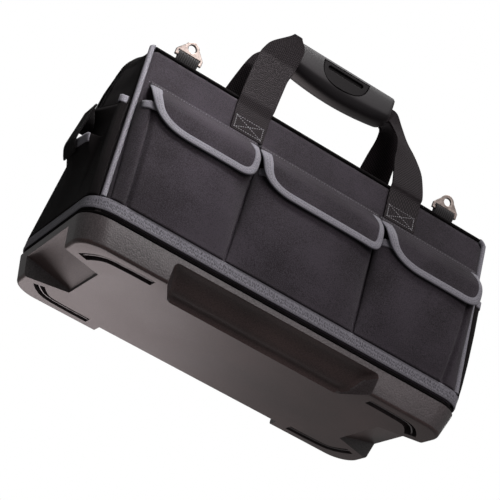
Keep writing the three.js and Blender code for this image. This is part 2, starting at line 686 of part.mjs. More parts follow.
const PLEAT_BULGE = [[0, 0.02], [0.12, 0.3], [0.35, 0.62], [0.65, 0.88], [1, 1]];

function endPocketPoint(side, column, w, out) {
  const mouth = mix(END_POCKET_MOUTH, PLEAT_TOP, column.mouth);
  const z = mix(POCKET_FOOT, mouth, w);
  const proud = column.v < 0 ? PLEAT_PROUD.front : PLEAT_PROUD.back;
  const stand = END_POCKET_DEPTH * column.box * table(BOX_BULGE, w) + proud * column.pleat * table(PLEAT_BULGE, w);
  const reach = endReach(column.v, z) + GAP + POCKET_CLOTH + stand + out;
  return new THREE.Vector3(side * reach, column.v * seamY(lean(z)), z);
}

function endPocket(side) {
  const ws = BOX_BULGE.map(([w]) => w);
  const outer = gridOf(ws, END_COLUMNS, (w, column) => endPocketPoint(side, column, w, 0));
  const inner = offsetGrid(outer, POCKET_CLOTH, () => new THREE.Vector3(-side, 0, 0));
  inner.forEach((row, i) => row.forEach((p, j) => {
    const wall = endReach(p.y / seamY(lean(p.z)), p.z) + GAP;
    p.x = side * Math.max(Math.abs(p.x), wall);
    p.z = outer[i][j].z;
  }));
  return shell(outer, inner);
}

// Tape along part of an end pocket's mouth, between two columns.
function endTape(side, columns, height) {
  const outer = [1, 0.5, 0].map((down) => columns.map((column) => {
    const mouth = mix(END_POCKET_MOUTH, PLEAT_TOP, column.mouth);
    const w = 1 - down * height / (mouth - POCKET_FOOT);
    const p = endPocketPoint(side, column, w, 0);
    return p.setZ(p.z + (down === 0 ? GAP : 0));
  }));
  const outwards = () => new THREE.Vector3(side, 0, 0);
  return shell(offsetGrid(outer, GAP + TAPE, outwards), offsetGrid(outer, GAP, outwards));
}

function boxTape(side) {
  return endTape(side, END_COLUMNS.filter((c) => c.box > 0.5), END_TAPE_HEIGHT);
}

function pleatCap(side, sideY) {
  const columns = END_COLUMNS.filter((c) => c.pleat === 1 && c.v * sideY > 0);
  return endTape(side, columns, POCKET_TAPE_HEIGHT);
}

// A tab from the zip's lower end, standing off the end, down on to the end pocket.
function zipTab(side) {
  const boxed = END_COLUMNS.find((c) => c.v === 0);
  const onPocket = (z) => {
    const w = (z - POCKET_FOOT) / (END_POCKET_MOUTH - POCKET_FOOT);
    return Math.abs(endPocketPoint(side, boxed, w, 0).x) + GAP + TAPE + 2 * GAP + CLOTH;
  };
  const ridge = endReach(0, ZIP_LOW) + CLOTH;
  const profile = [
    [ridge, ZIP_LOW - GAP],
    [ridge + ZIP_TAB_PROUD * 0.5, mix(ZIP_LOW, END_POCKET_MOUTH, 0.4)],
    [ridge + ZIP_TAB_PROUD, mix(ZIP_LOW, END_POCKET_MOUTH, 0.75)],
    [onPocket(END_POCKET_MOUTH - 1), END_POCKET_MOUTH - 1],
    [onPocket(mix(END_POCKET_MOUTH, ZIP_TAB_FOOT, 0.6)), mix(END_POCKET_MOUTH, ZIP_TAB_FOOT, 0.6)],
    [onPocket(ZIP_TAB_FOOT), ZIP_TAB_FOOT],
  ];
  const half = ZIP_TAB_WIDTH / 2;
  const grid = gridOf(profile, [-1, -0.5, 0, 0.5, 1], ([x, z], u) => new THREE.Vector3(side * x, u * half, z));
  return sheet(grid, CLOTH, () => new THREE.Vector3(-side, 0, -0.2));
}

// Handles

// How far out the handle's webbing lies at a height, in front of the cloth and then in to the grip.
function handleDepth(z) {
  const under = Math.max(faceDepth(0, z), TOP_DEPTH / 2 + HEM_RADIUS + GAP);
  const t = clamp((z - HANDLE_FREE) / (GRIP_CENTRE_HEIGHT - GRIP_HEIGHT / 2 - HANDLE_FREE), 0, 1);
  return mix(under, GRIP_HALF_DEPTH, t) + GAP + WEBBING_THICK;
}

// Left legs lie flat and fold over the grip's end: height, left edge and right edge from the leg's middle
const FOLDED_LEG = [
  { z: 0, left: -0.5, right: 0.5 },
  { z: 0.24, left: -0.5, right: 0.54 },
  { z: 0.3, left: -0.5, right: 0.57 },
  { z: 0.6, left: -0.34, right: 0.74 },
  { z: 0.74, left: -0.24, right: 0.91 },
  { z: 0.84, left: -0.09, right: 0.95 },
  { z: 0.92, left: 0.25, right: 0.96 },
  { z: 0.985, left: 0.52, right: 0.7 },
];

function foldedLeg(sideY) {
  const us = [0, 0.5, 1];
  const grid = gridOf(FOLDED_LEG, us, (row, u) => {
    const z = HANDLE_FOOT + row.z * FOLDED_LEG_RISE;
    const x = HANDLE_LEFT + WEBBING_WIDTH * mix(row.left, row.right, u);
    return new THREE.Vector3(x, sideY * handleDepth(z), z);
  });
  const backwards = () => new THREE.Vector3(0, -sideY, 0);
  const plate = solid(sheet(grid, WEBBING_THICK, backwards, (p, q) => p.setZ(q.z)));
  const gripEnd = GRIP_X - GRIP_LENGTH / 2;
  const start = gripEnd - FOLD_BEFORE_GRIP;
  const reach = gripEnd + TONGUE_REACH - start;
  const deep = handleDepth(PANEL_TOP * 2) - TONGUE_SPACING + WEBBING_THICK;
  const tongue = new THREE.BoxGeometry(reach, WEBBING_THICK, TONGUE_HEIGHT);
  tongue.translate(start + reach / 2, sideY * TONGUE_SPACING, GRIP_CENTRE_HEIGHT);
  const heel = new THREE.BoxGeometry(FOLD_THICK, deep, TONGUE_HEIGHT);
  const heelAt = TONGUE_SPACING - WEBBING_THICK / 2 + deep / 2 - FOLD_OVERLAP;
  heel.translate(start + FOLD_THICK / 2, sideY * heelAt, GRIP_CENTRE_HEIGHT);
  return geometryOf(plate.add(solid(tongue)).add(solid(heel)));
}

// Right legs turn in as they rise: place from the leg's foot, as shares, twist in degrees and width as a share
const RIGHT_LEGS = {
  front: [
    { x: 0, rise: 0, twist: 0, width: 1 },
    { x: 0.02, rise: 0.27, twist: 0, width: 1 },
    { x: 0.03, rise: 0.345, twist: 0, width: 1 },
    { x: 0, rise: 0.48, twist: 5, width: 1 },
    { x: -0.05, rise: 0.6, twist: 12, width: 1 },
    { x: -0.15, rise: 0.73, twist: 24, width: 0.85 },
    { x: -0.31, rise: 0.84, twist: 34, width: 0.66 },
    { x: -0.52, rise: 0.95, twist: 28, width: 0.54 },
    { x: -0.72, rise: 1, twist: 14, width: 0.48 },
  ],
  back: [
    { x: 0, rise: 0, twist: 0, width: 1 },
    { x: 0, rise: 0.27, twist: 0, width: 1 },
    { x: -0.03, rise: 0.345, twist: 0, width: 1 },
    { x: -0.12, rise: 0.48, twist: 4, width: 1 },
    { x: -0.23, rise: 0.62, twist: 8, width: 0.96 },
    { x: -0.3, rise: 0.76, twist: 12, width: 0.85 },
    { x: -0.4, rise: 0.88, twist: 12, width: 0.68 },
    { x: -0.56, rise: 0.96, twist: 8, width: 0.54 },
    { x: -0.74, rise: 1, twist: 4, width: 0.46 },
  ],
};
const FLAT_ROWS = 3;

function rightLeg(face, sideY) {
  const rise = GRIP_CENTRE_HEIGHT - HANDLE_FOOT;
  const gripEnd = GRIP_X + GRIP_LENGTH / 2;
  const centres = RIGHT_LEGS[face].map((row) => {
    const z = HANDLE_FOOT + rise * row.rise;
    const free = clamp((z - HANDLE_FREE) / (GRIP_CENTRE_HEIGHT - HANDLE_FREE), 0, 1);
    const depth = mix(handleDepth(Math.min(z, HANDLE_FREE)), TONGUE_SPACING, Math.min(1, free * 1.08));
    return new THREE.Vector3(HANDLE_RIGHT + WEBBING_WIDTH * row.x, sideY * depth, z);
  });
  const rows = RIGHT_LEGS[face].map((row) => ({ ...row }));
  centres.push(new THREE.Vector3(gripEnd + 2, sideY * TONGUE_SPACING, GRIP_CENTRE_HEIGHT));
  rows.push({ twist: 0, width: TONGUE_HEIGHT / WEBBING_WIDTH });
  centres.push(new THREE.Vector3(gripEnd - TONGUE_REACH, sideY * TONGUE_SPACING, GRIP_CENTRE_HEIGHT));
  rows.push({ twist: 0, width: TONGUE_HEIGHT / WEBBING_WIDTH });
  const count = centres.length;
  const front = [];
  const back = [];
  centres.forEach((c, i) => {
    const along = new THREE.Vector3().subVectors(centres[Math.min(i + 1, count - 1)], centres[Math.max(i - 1, 0)]);
    if (i < FLAT_ROWS) along.set(0, 0, 1);
    if (i === count - 2) along.set(-1, 0, 0);
    along.y = 0;
    along.normalize();
    const outward = new THREE.Vector3(along.z, 0, -along.x);
    const twist = THREE.MathUtils.degToRad(rows[i].twist);
    const facing = new THREE.Vector3(0, sideY, 0);
    const wide = outward.clone().multiplyScalar(Math.cos(twist)).addScaledVector(facing, -Math.sin(twist));
    const normal = facing.clone().multiplyScalar(Math.cos(twist)).addScaledVector(outward, Math.sin(twist));
    const half = WEBBING_WIDTH * rows[i].width / 2;
    const at = (u, n) => c.clone().addScaledVector(wide, u * half).addScaledVector(normal, n);
    const lift = i < FLAT_ROWS ? 0 : WEBBING_THICK / 2;
    front.push([at(-1, lift), at(0, lift), at(1, lift)]);
    back.push([at(-1, lift - WEBBING_THICK), at(0, lift - WEBBING_THICK), at(1, lift - WEBBING_THICK)]);
  });
  return shell(front, back);
}

// Half of the grip's section, from the top round to the bottom, as shares of its half depth and half height
const GRIP_SECTION = [
  { y: 0, z: 1 }, { y: 0.7, z: 0.95 }, { y: 0.93, z: 0.78 }, { y: 1, z: -0.2 },
  { y: 0.86, z: -0.62 }, { y: 0.5, z: -0.93 }, { y: 0, z: -1 },
];

function gripBody() {
  const right = GRIP_SECTION.slice(1, -1);
  const loop = [...GRIP_SECTION, ...right.reverse().map((p) => ({ y: -p.y, z: p.z }))];
  const along = [-1, -0.97, -0.6, 0, 0.6, 0.97, 1];
  const rings = along.map((u) => loop.map((p) => {
    const end = Math.abs(u) > 0.98 ? 0.95 : 1;
    const belly = p.z < 0 ? 1 - 0.38 * u * u : 1;
    return new THREE.Vector3(u * GRIP_LENGTH / 2, p.y * GRIP_HALF_DEPTH * end, p.z * GRIP_HEIGHT / 2 * end * belly);
  }));
  return solid(loft(rings)).translate([GRIP_X, 0, GRIP_CENTRE_HEIGHT]);
}

// The D-shaped inset's outline in the grip's face, flat side up, shrunk by a margin.
function insetShape(margin) {
  const half = INSET_LENGTH / 2 - margin;
  const top = INSET_TOP - margin;
  const low = top - INSET_DROP + 2 * margin;
  const shape = new THREE.Shape();
  shape.moveTo(-half, top);
  shape.bezierCurveTo(-half, mix(top, low, 0.8), -half * 0.55, low, -half * 0.1, low);
  shape.bezierCurveTo(half * 0.6, low, half, mix(top, low, 0.8), half, top);
  shape.closePath();
  return shape;
}

// A solid cut along y from a shape drawn in x and z, between two depths on the front side.
function frontCut(shape, near, far) {
  const plate = new THREE.ExtrudeGeometry(shape, { depth: far - near, bevelEnabled: false, curveSegments: 6 });
  return solid(plate.rotateX(Math.PI / 2)).translate([GRIP_X, -near, GRIP_CENTRE_HEIGHT]);
}

function grip() {
  let made = gripBody();
  const floor = GRIP_HALF_DEPTH * GRIP_FACE - INSET_THICK;
  made = made.subtract(frontCut(insetShape(0), floor, GRIP_HALF_DEPTH + 2));
  for (const side of [-1, 1]) {
    for (const sideY of [-1, 1]) {
      const slot = new THREE.BoxGeometry(2 * (TONGUE_REACH + 2 * GAP), WEBBING_THICK + 2 * GAP, TONGUE_HEIGHT + 2 * GAP);
      slot.translate(GRIP_X + side * GRIP_LENGTH / 2, sideY * TONGUE_SPACING, GRIP_CENTRE_HEIGHT);
      made = made.subtract(solid(slot));
    }
  }
  return geometryOf(made);
}

function gripInset() {
  const floor = GRIP_HALF_DEPTH * GRIP_FACE - INSET_THICK + GAP;
  const shape = insetShape(INSET_CLEARANCE);
  const slot = new THREE.Shape();
  const half = INSET_SLOT_HALF;
  const z = INSET_SLOT_HEIGHT;
  slot.moveTo(-half, z - INSET_SLOT_RADIUS);
  slot.lineTo(half, z - INSET_SLOT_RADIUS);
  slot.absarc(half, z, INSET_SLOT_RADIUS, -Math.PI / 2, Math.PI / 2, false);
  slot.absarc(-half, z, INSET_SLOT_RADIUS, Math.PI / 2, 3 * Math.PI / 2, false);
  const plate = frontCut(shape, floor, floor + INSET_THICK);
  return geometryOf(plate.subtract(frontCut(slot, floor + INSET_THICK / 2, floor + INSET_THICK * 2)));
}

// Shoulder-strap rings
const RING_Y = -(TOP_DEPTH / 2 - RING_BACK_FROM_EDGE);
const LOOP_HOLE = Math.hypot(RING_WIRE, RING_WIRE) / 2 + RING_CLEARANCE;
const LOOP_OUTSIDE = LOOP_HOLE + POCKET_CLOTH;

function ringTab(x) {
  const crown = TOP_CROWN * (1 - (RING_Y / (TOP_DEPTH / 2)) ** 2);
  const drop = RING_BAR_HEIGHT - (PANEL_TOP + crown) - RING_TAB_ROOT;
  const shape = new THREE.Shape();
  shape.moveTo(-POCKET_CLOTH * RING_TAB_STEM, -drop);
  shape.lineTo(POCKET_CLOTH * RING_TAB_STEM, -drop);
  shape.lineTo(LOOP_OUTSIDE, -LOOP_OUTSIDE);
  shape.absarc(0, 0, LOOP_OUTSIDE, 0, Math.PI, false);
  shape.lineTo(-LOOP_OUTSIDE, -LOOP_OUTSIDE);
  shape.closePath();
  const hole = new THREE.Path();
  hole.absarc(0, 0, LOOP_HOLE, 0, 2 * Math.PI, true);
  shape.holes.push(hole);
  const loop = new THREE.ExtrudeGeometry(shape, { depth: RING_TAB_WIDTH, bevelEnabled: false, curveSegments: 8 });
  loop.rotateX(Math.PI / 2).rotateZ(Math.PI / 2);
  return loop.translate(x - RING_TAB_WIDTH / 2, RING_Y, RING_BAR_HEIGHT);
}

function ring(x) {
  const half = RING_TAB_WIDTH / 2 + RING_SIDE_ROOM + RING_WIRE;
  const crown = RING_HOLE + RING_WIRE * RING_EYE_RIM;
  const wire = RING_WIRE / 2;
  const shape = new THREE.Shape();
  shape.moveTo(-half, -wire);
  shape.lineTo(half, -wire);
  shape.lineTo(half, LOOP_OUTSIDE + RING_SIDE_ROOM);
  shape.lineTo(crown * Math.cos(RING_SHOULDER), RING_RISE + crown * Math.sin(RING_SHOULDER));
  shape.absarc(0, RING_RISE, crown, RING_SHOULDER, Math.PI - RING_SHOULDER, false);
  shape.lineTo(-half, LOOP_OUTSIDE + RING_SIDE_ROOM);
  shape.closePath();
  const slot = new THREE.Path();
  const slotHalf = half - RING_WIRE;
  slot.moveTo(-slotHalf, wire);
  slot.lineTo(-slotHalf, LOOP_OUTSIDE + RING_CLEARANCE);
  slot.lineTo(slotHalf, LOOP_OUTSIDE + RING_CLEARANCE);
  slot.lineTo(slotHalf, wire);
  slot.closePath();
  const eye = new THREE.Path();
  eye.absarc(0, RING_RISE, RING_HOLE, 0, 2 * Math.PI, true);
  shape.holes.push(slot, eye);
  const plate = new THREE.ExtrudeGeometry(shape, { depth: RING_WIRE, bevelEnabled: false, curveSegments: 10 });
  return plate.rotateX(Math.PI / 2).translate(x, RING_Y + RING_WIRE / 2, RING_BAR_HEIGHT);
}

// Finishes
const finish = (color, roughness, metalness = 0) => new THREE.MeshStandardMaterial({ color, roughness, metalness });
const CHARCOAL = finish(0x433e41, 0.9);
const GUSSET = finish(0x2a2729, 0.9);
const GREY_TAPE = finish(0x8f8d94, 0.85);
const BLACK = finish(0x1b191b, 0.8);
const BASE_PLASTIC = finish(0x4f474a, 0.55);
const WEBBING = finish(0x3a3637, 0.8);
const GRIP_PLASTIC = finish(0x4a454b, 0.45);
const NICKEL = finish(0xc9bdb8, 0.25, 1);

// The bag
const bag = new THREE.Group();

function add(name, geometry, material) {
  const mesh = new THREE.Mesh(geometry, material);
  mesh.name = name;
  bag.add(mesh);
}

add('base_tray', baseTray(), BASE_PLASTIC);
add('base_strip', baseStrip(), GREY_TAPE);
add('front_panel', facePanel(-1), CHARCOAL);
add('back_panel', facePanel(1), CHARCOAL);
add('gusset_front', gussetBand(-1), GUSSET);
add('gusset_back', gussetBand(1), GUSSET);
add('zip', zip(), BLACK);
add('zip_slider', zipSlider(), NICKEL);
for (const [end, side] of [['left', -1], ['right', 1]]) {
  add(`end_panel_${end}`, endPanel(side), GUSSET);
  add(`end_pocket_${end}`, endPocket(side), GUSSET);
  add(`end_tape_${end}`, boxTape(side), GREY_TAPE);
  add(`zip_tab_${end}`, zipTab(side), BLACK);
  for (const [face, sideY] of [['front', -1], ['back', 1]]) {
    add(`piping_${face}_${end}`, piping(side, sideY), GREY_TAPE);
    add(`pleat_cap_${face}_${end}`, pleatCap(side, sideY), GREY_TAPE);
  }
}
for (const [face, sideY] of [['front', -1], ['back', 1]]) {
  add(`top_hem_${face}`, topHem(sideY), BLACK);
  add(`handle_${face}_left`, foldedLeg(sideY), WEBBING);
  add(`handle_${face}_right`, rightLeg(face, sideY), WEBBING);
}
for (const pocket of POCKETS) {
  add(`pocket_${pocket.name}`, frontPocket(pocket), CHARCOAL);
  add(`pocket_tape_${pocket.name}`, pocketTape(pocket), GREY_TAPE);
}
for (const flap of FLAPS) {
  add(`flap_${flap.name}`, flapSheet(flap), CHARCOAL);
  add(`flap_binding_${flap.name}`, flapBinding(flap), GREY_TAPE);
}
add('grip', grip(), GRIP_PLASTIC);
add('grip_inset', gripInset(), GRIP_PLASTIC);
add('ring_tab_left', ringTab(RING_LEFT), WEBBING);
add('ring_tab_right', ringTab(RING_RIGHT), WEBBING);
add('ring_left', ring(RING_LEFT), NICKEL);
add('ring_right', ring(RING_RIGHT), NICKEL);

export default bag;
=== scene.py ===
# %% [markdown]
# # A tool bag on a moulded base
#
# The real bag is stiff woven cloth, sewn to a plastic tub, with flapped pockets in front, a pocket at each
# end and two webbing handles that share one grip. Each cloth face is a flat cut panel that bends, so each
# is made here as a grid that is laid on the bag's form and given a wall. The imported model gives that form,
# and the same few sizes are named below in millimetres.

import math

import bmesh
import bpy
from mathutils import Matrix, Vector, noise


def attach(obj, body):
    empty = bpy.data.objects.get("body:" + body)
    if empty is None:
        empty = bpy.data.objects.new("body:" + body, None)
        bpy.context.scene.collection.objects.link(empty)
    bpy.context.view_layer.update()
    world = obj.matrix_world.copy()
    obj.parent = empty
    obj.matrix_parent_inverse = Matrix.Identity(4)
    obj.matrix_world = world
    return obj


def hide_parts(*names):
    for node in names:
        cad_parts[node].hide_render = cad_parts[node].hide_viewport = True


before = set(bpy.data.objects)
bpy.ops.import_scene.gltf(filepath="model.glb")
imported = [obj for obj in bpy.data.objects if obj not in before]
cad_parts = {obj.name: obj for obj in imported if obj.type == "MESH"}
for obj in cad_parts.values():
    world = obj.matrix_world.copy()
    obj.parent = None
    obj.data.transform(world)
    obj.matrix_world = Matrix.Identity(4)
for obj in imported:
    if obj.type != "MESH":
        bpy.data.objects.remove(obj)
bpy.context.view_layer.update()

# %% Sizes of the bag, in millimetres
MM = 0.001
GAP = 0.3
CLOTH = 2.0
POCKET_CLOTH = 1.8
TAPE = 0.9
WEBBING_THICK = 2.2
RIM_LENGTH, RIM_DEPTH, RIM_CORNER = 450, 225, 30
FOOT_HALF_X, FOOT_HALF_Y = 217.2, 109.0
BASE_HEIGHT, STRIP_LOW, STRIP_TOP = 28.5, 35.0, 48.0
LEDGE, LIP_INSET, EDGE_ROUND = 0.5, 4.2, 3.5
CLOTH_HALF_X, CLOTH_HALF_Y, CLOTH_CORNER = 223.1, 110.6, 28.1
PANEL_LOW, PANEL_TOP = 33.5, 250.5
SEAM_FOOT, SEAM_TOP, TOP_HALF_Y = 212.5, 217.0, 47.0
TOP_CORNERS, TOP_CROWN, SHOULDER_DROP, SHOULDER_IN = {-1: 3, 1: 7}, 8, 24, 17
END_SWELL, SEAM_SETBACK = 18.5, 2.8
PIPING_RADIUS, HEM_RADIUS = 2.9, 2.0
ZIP_HALF, ZIP_LOW = 12, 176
POCKET_FOOT, POCKET_MOUTH, POCKET_DEPTH = 48.6, 172, 21
FLAP_SEAM, FLAP_FOOT, FLAP_BINDING, FLAP_PROUD, FLAP_DROOP = 207, 146, 8.5, 4.3, 0.26
END_POCKET_MOUTH, PLEAT_TOP, END_POCKET_DEPTH = 132, 176, 14.5
WEBBING_WIDTH, HANDLE_FOOT, HANDLE_FREE = 40, 207.3, 255
HANDLE_LEFT, HANDLE_RIGHT = -90.5, 106.0
GRIP_X, GRIP_Z, GRIP_LENGTH, GRIP_HALF_DEPTH, GRIP_HALF_HEIGHT = 4.25, 351, 132, 18, 20


def mix(a, b, t):
    return a + (b - a) * t


def clamp(value, low=0.0, high=1.0):
    return min(high, max(low, value))


def table(rows, t):
    """Value at t of a table of (place, value) rows, in straight stretches."""
    if t <= rows[0][0]:
        return rows[0][1]
    for (t0, v0), (t1, v1) in zip(rows, rows[1:]):
        if t <= t1:
            return mix(v0, v1, (t - t0) / (t1 - t0))
    return rows[-1][1]


def eased(rows, t, reach=0.05):
    """The same table with its corners worn round, as cloth bends and doesn't crease."""
    return sum(table(rows, t + reach * k / 2) for k in (-2, -1, 0, 1, 2)) / 5


# %% [markdown]
# ## The bag's form
#
# The front and back lean in from the rim to the top edge, and the ends swell where the zip bends over the
# shoulder. These functions give the outside of the cloth at any place, so that every piece laid on the
# bag, and every piece laid on that, follows one form. It could have been sculpted once instead, but then
# no seam or pocket could be placed by a measure.

# %% Functions of the form
def lean(z):
    return clamp((z - STRIP_TOP) / (PANEL_TOP - STRIP_TOP))


def rim_depth(x):
    over = max(0, abs(x) - (CLOTH_HALF_X - CLOTH_CORNER))
    return CLOTH_HALF_Y - CLOTH_CORNER + math.sqrt(max(0, CLOTH_CORNER**2 - over**2))


def rim_reach(y):
    over = max(0, abs(y) - (CLOTH_HALF_Y - CLOTH_CORNER))
    return CLOTH_HALF_X - CLOTH_CORNER + math.sqrt(max(0, CLOTH_CORNER**2 - over**2))


SEAM_FOOT_Y = rim_depth(SEAM_FOOT)


def seam_x(z):
    return mix(SEAM_FOOT, SEAM_TOP, lean(z))


def seam_y(z):
    return mix(SEAM_FOOT_Y, TOP_HALF_Y, lean(z))


def face_depth(x, z):
    """Depth from the bag's middle to the outside of the front or back cloth."""
    u = clamp(x / seam_x(z), -1, 1)
    return mix(rim_depth(u * SEAM_FOOT), TOP_HALF_Y, lean(z))


SWELL = [(0, 0), (0.26, 0.08), (0.42, 0.22), (0.53, 0.5), (0.63, 1), (0.77, 0.97), (0.88, 0.8), (1, 0.3)]


def end_reach(v, z):
    """Reach from the middle to the outside of an end, v across it from seam to seam."""
    flat = mix(rim_reach(v * SEAM_FOOT_Y), SEAM_TOP, lean(z))
    return flat + END_SWELL * table(SWELL, lean(z)) * max(0, 1 - abs(v)) ** 1.5


def gusset_point(side, s, v, low):
    """s runs 0 to 1 up an end, 1 to 2 round the shoulder and 2 to 3 to the middle of the top."""
    across = 1 - v * v
    corner = TOP_CORNERS[side]
    corner_low = PANEL_TOP - mix(corner, SHOULDER_DROP, across)
    corner_in = SEAM_TOP - mix(corner, SHOULDER_IN, across)
    top = PANEL_TOP + TOP_CROWN * across
    if s <= 1:
        z = mix(low, corner_low, s)
        seam_z = mix(low, PANEL_TOP - corner, s)
        return Vector((side * end_reach(v, z), v * seam_y(seam_z), z))
    turn = (min(s, 2) - 1) * math.pi / 2
    seam_z = PANEL_TOP - corner + corner * math.sin(turn)
    x = mix(corner_in, end_reach(v, corner_low), math.cos(turn))
    z = mix(corner_low, top, math.sin(turn))
    return Vector((side * x * (3 - s if s > 2 else 1), v * seam_y(seam_z), z))


print("half depth at the rim and the top:", round(face_depth(0, STRIP_TOP), 1), round(face_depth(0, PANEL_TOP), 1))

# %% [markdown]
# ## Finishes
#
# Each finish starts from what the real material is. One function turns sRGB hex to linear colour, and one
# adds a node with its settings and links. Cloth patterns read the piece's own UV map, which is laid out in
# metres, so a thread has the same size on every piece and bends with it.

# %% Helpers for materials
def linear(hexcode):
    """Linear colour of an sRGB hex value."""
    parts = [int(hexcode[i : i + 2], 16) / 255 for i in (1, 3, 5)]
    return [p / 12.92 if p <= 0.04045 else ((p + 0.055) / 1.055) ** 2.4 for p in parts] + [1]


def put(tree, kind, feeds=(), **settings):
    """Adds a node. feeds holds (input, value or socket) pairs."""
    node = tree.nodes.new(kind)
    for key, value in settings.items():
        setattr(node, key, value)
    for socket, value in feeds:
        if isinstance(value, bpy.types.NodeSocket):
            tree.links.new(value, node.inputs[socket])
        else:
            node.inputs[socket].default_value = value
    return node


def new_finish(name, slot, **uniform):
    """A material with its uniform values on the shader's own sockets."""
    material = bpy.data.materials.new(name)
    material.use_nodes = True
    shader = material.node_tree.nodes["Principled BSDF"]
    for key, value in uniform.items():
        shader.inputs[key.replace("_", " ")].default_value = value
    return material, material.node_tree, shader


def colour_between(tree, shader, factor, dark, light, low=0.3, high=0.7):
    """Runs the base colour from dark to light as the factor goes from low to high."""
    ramp = put(tree, "ShaderNodeValToRGB", [("Fac", factor)])
    ramp.color_ramp.elements[0].position, ramp.color_ramp.elements[1].position = low, high
    ramp.color_ramp.elements[0].color, ramp.color_ramp.elements[1].color = linear(dark), linear(light)
    tree.links.new(ramp.outputs["Color"], shader.inputs["Base Color"])
    return ramp


def bump_from(tree, shader, height, deep, strength=1.0):
    """Bump of the given depth in millimetres."""
    feeds = [("Height", height), ("Distance", deep * MM), ("Strength", strength)]
    bump = put(tree, "ShaderNodeBump", feeds)
    tree.links.new(bump.outputs["Normal"], shader.inputs["Normal"])


# %% [markdown]
# Polyester pack cloth is a plain weave of thick threads with a dull face. The threads of the real cloth are
# about 0.5 mm apart, too fine for the picture, so they are drawn 1.1 mm apart. A plain weave is two sets of
# ribs, with a checker choosing which set is on top.

# %% Woven cloth finishes
BAND = math.pi / 10
THREAD = 1.1


def weave_height(tree, spacing):
    """Height of a plain weave whose threads are the given millimetres apart."""
    uv = put(tree, "ShaderNodeTexCoord").outputs["UV"]
    scale = (1 / (spacing * MM),) * 3
    threads = put(tree, "ShaderNodeMapping", [("Vector", uv), ("Scale", scale)]).outputs["Vector"]
    warp = put(tree, "ShaderNodeTexWave", [("Vector", threads), ("Scale", BAND)], bands_direction="X")
    weft = put(tree, "ShaderNodeTexWave", [("Vector", threads), ("Scale", BAND)], bands_direction="Y")
    over = put(tree, "ShaderNodeTexChecker", [("Vector", threads), ("Scale", 1.0)])
    feeds = [(0, over.outputs["Fac"]), (2, warp.outputs["Fac"]), (3, weft.outputs["Fac"])]
    return put(tree, "ShaderNodeMix", feeds).outputs[0]


def cloth_finish(name, slot, dark, light, spacing=THREAD, deep=0.18, sheen=0.08):
    material, tree, shader = new_finish(name, slot, Roughness=0.9, Sheen_Weight=sheen, Specular_IOR_Level=2 * sheen)
    place = put(tree, "ShaderNodeTexCoord").outputs["Object"]
    slub = put(tree, "ShaderNodeTexNoise", [("Vector", place), ("Scale", 850.0), ("Detail", 1.0)])
    wear = put(tree, "ShaderNodeTexNoise", [("Vector", place), ("Scale", 14.0), ("Detail", 3.0)])
    height = weave_height(tree, spacing)
    feeds = [(0, slub.outputs["Fac"]), (1, wear.outputs["Fac"])]
    mottled = put(tree, "ShaderNodeMath", feeds, operation="ADD").outputs[0]
    half = put(tree, "ShaderNodeMath", [(0, mottled), (1, 0.5)], operation="MULTIPLY").outputs[0]
    colour_between(tree, shader, half, dark, light, 0.38, 0.62)
    both = put(tree, "ShaderNodeMath", [(0, height), (1, slub.outputs["Fac"])], operation="ADD").outputs[0]
    bump_from(tree, shader, both, deep)
    return material


charcoal_polyester = cloth_finish("charcoal_pack_cloth", "charcoal_cloth", "#322d31", "#4f4850")
black_polyester = cloth_finish("black_pack_cloth", "gusset_cloth", "#161314", "#201c1d", sheen=0.035)
black_tape = cloth_finish("black_woven_tape", "black_tape", "#131112", "#211e1f", 0.9, 0.2, 0.03)
print("cloth threads drawn at", THREAD, "mm")

# %% [markdown]
# The grey tape is a coarse warp-knit polyester: light beads with dark holes between them. A Voronoi texture
# with little randomness gives holes in slightly uneven rows, which is how a knit that is pulled round a
# curve looks.

# %% Grey tape, webbing and thread
def beaded_finish(name, slot, dark, light, across, along, hole, deep, rough=0.75):
    material, tree, shader = new_finish(name, slot, Roughness=rough, Sheen_Weight=0.1)
    uv = put(tree, "ShaderNodeTexCoord").outputs["UV"]
    scale = (1 / (across * MM), 1 / (along * MM), 1.0)
    rows = put(tree, "ShaderNodeMapping", [("Vector", uv), ("Scale", scale)]).outputs["Vector"]
    feeds = [("Vector", rows), ("Scale", 1.0), ("Randomness", hole)]
    holes = put(tree, "ShaderNodeTexVoronoi", feeds, voronoi_dimensions="2D").outputs["Distance"]
    fuzz = put(tree, "ShaderNodeTexNoise", [("Vector", rows), ("Scale", 1.3), ("Detail", 2.0)])
    both = put(tree, "ShaderNodeMath", [(0, holes), (1, fuzz.outputs["Fac"])], operation="ADD").outputs[0]
    colour_between(tree, shader, both, dark, light, 0.62, 1.0)
    bump_from(tree, shader, holes, deep)
    return material


grey_tape = beaded_finish("grey_knitted_tape", "grey_tape", "#545158", "#9c99a2", 1.4, 1.5, 0.4, 0.3)
binding_tape = beaded_finish("grey_woven_binding", "grey_tape", "#6c6971", "#9a97a0", 1.1, 1.3, 0.5, 0.12)


def webbing_finish():
    """Polypropylene webbing: slanting rows of beads, each a thread that goes over two others."""
    material, tree, shader = new_finish("polypropylene_webbing", "webbing", Roughness=0.7, Specular_IOR_Level=0.15)
    uv = put(tree, "ShaderNodeTexCoord").outputs["UV"]
    feeds = [("Vector", uv), ("Rotation", (0, 0, math.radians(35))), ("Scale", (1 / (BEAD * MM),) * 3)]
    slanted = put(tree, "ShaderNodeMapping", feeds).outputs["Vector"]
    feeds = [("Vector", slanted), ("Scale", 1.0), ("Randomness", 0.12)]
    away = put(tree, "ShaderNodeTexVoronoi", feeds, voronoi_dimensions="2D").outputs["Distance"]
    height = put(tree, "ShaderNodeMath", [(0, 1.0), (1, away)], operation="SUBTRACT").outputs[0]
    colour_between(tree, shader, height, "#0f0c0d", "#3b3236", 0.42, 0.88)
    bump_from(tree, shader, height, 0.5)
    return material


BEAD = 2.1
webbing = webbing_finish()


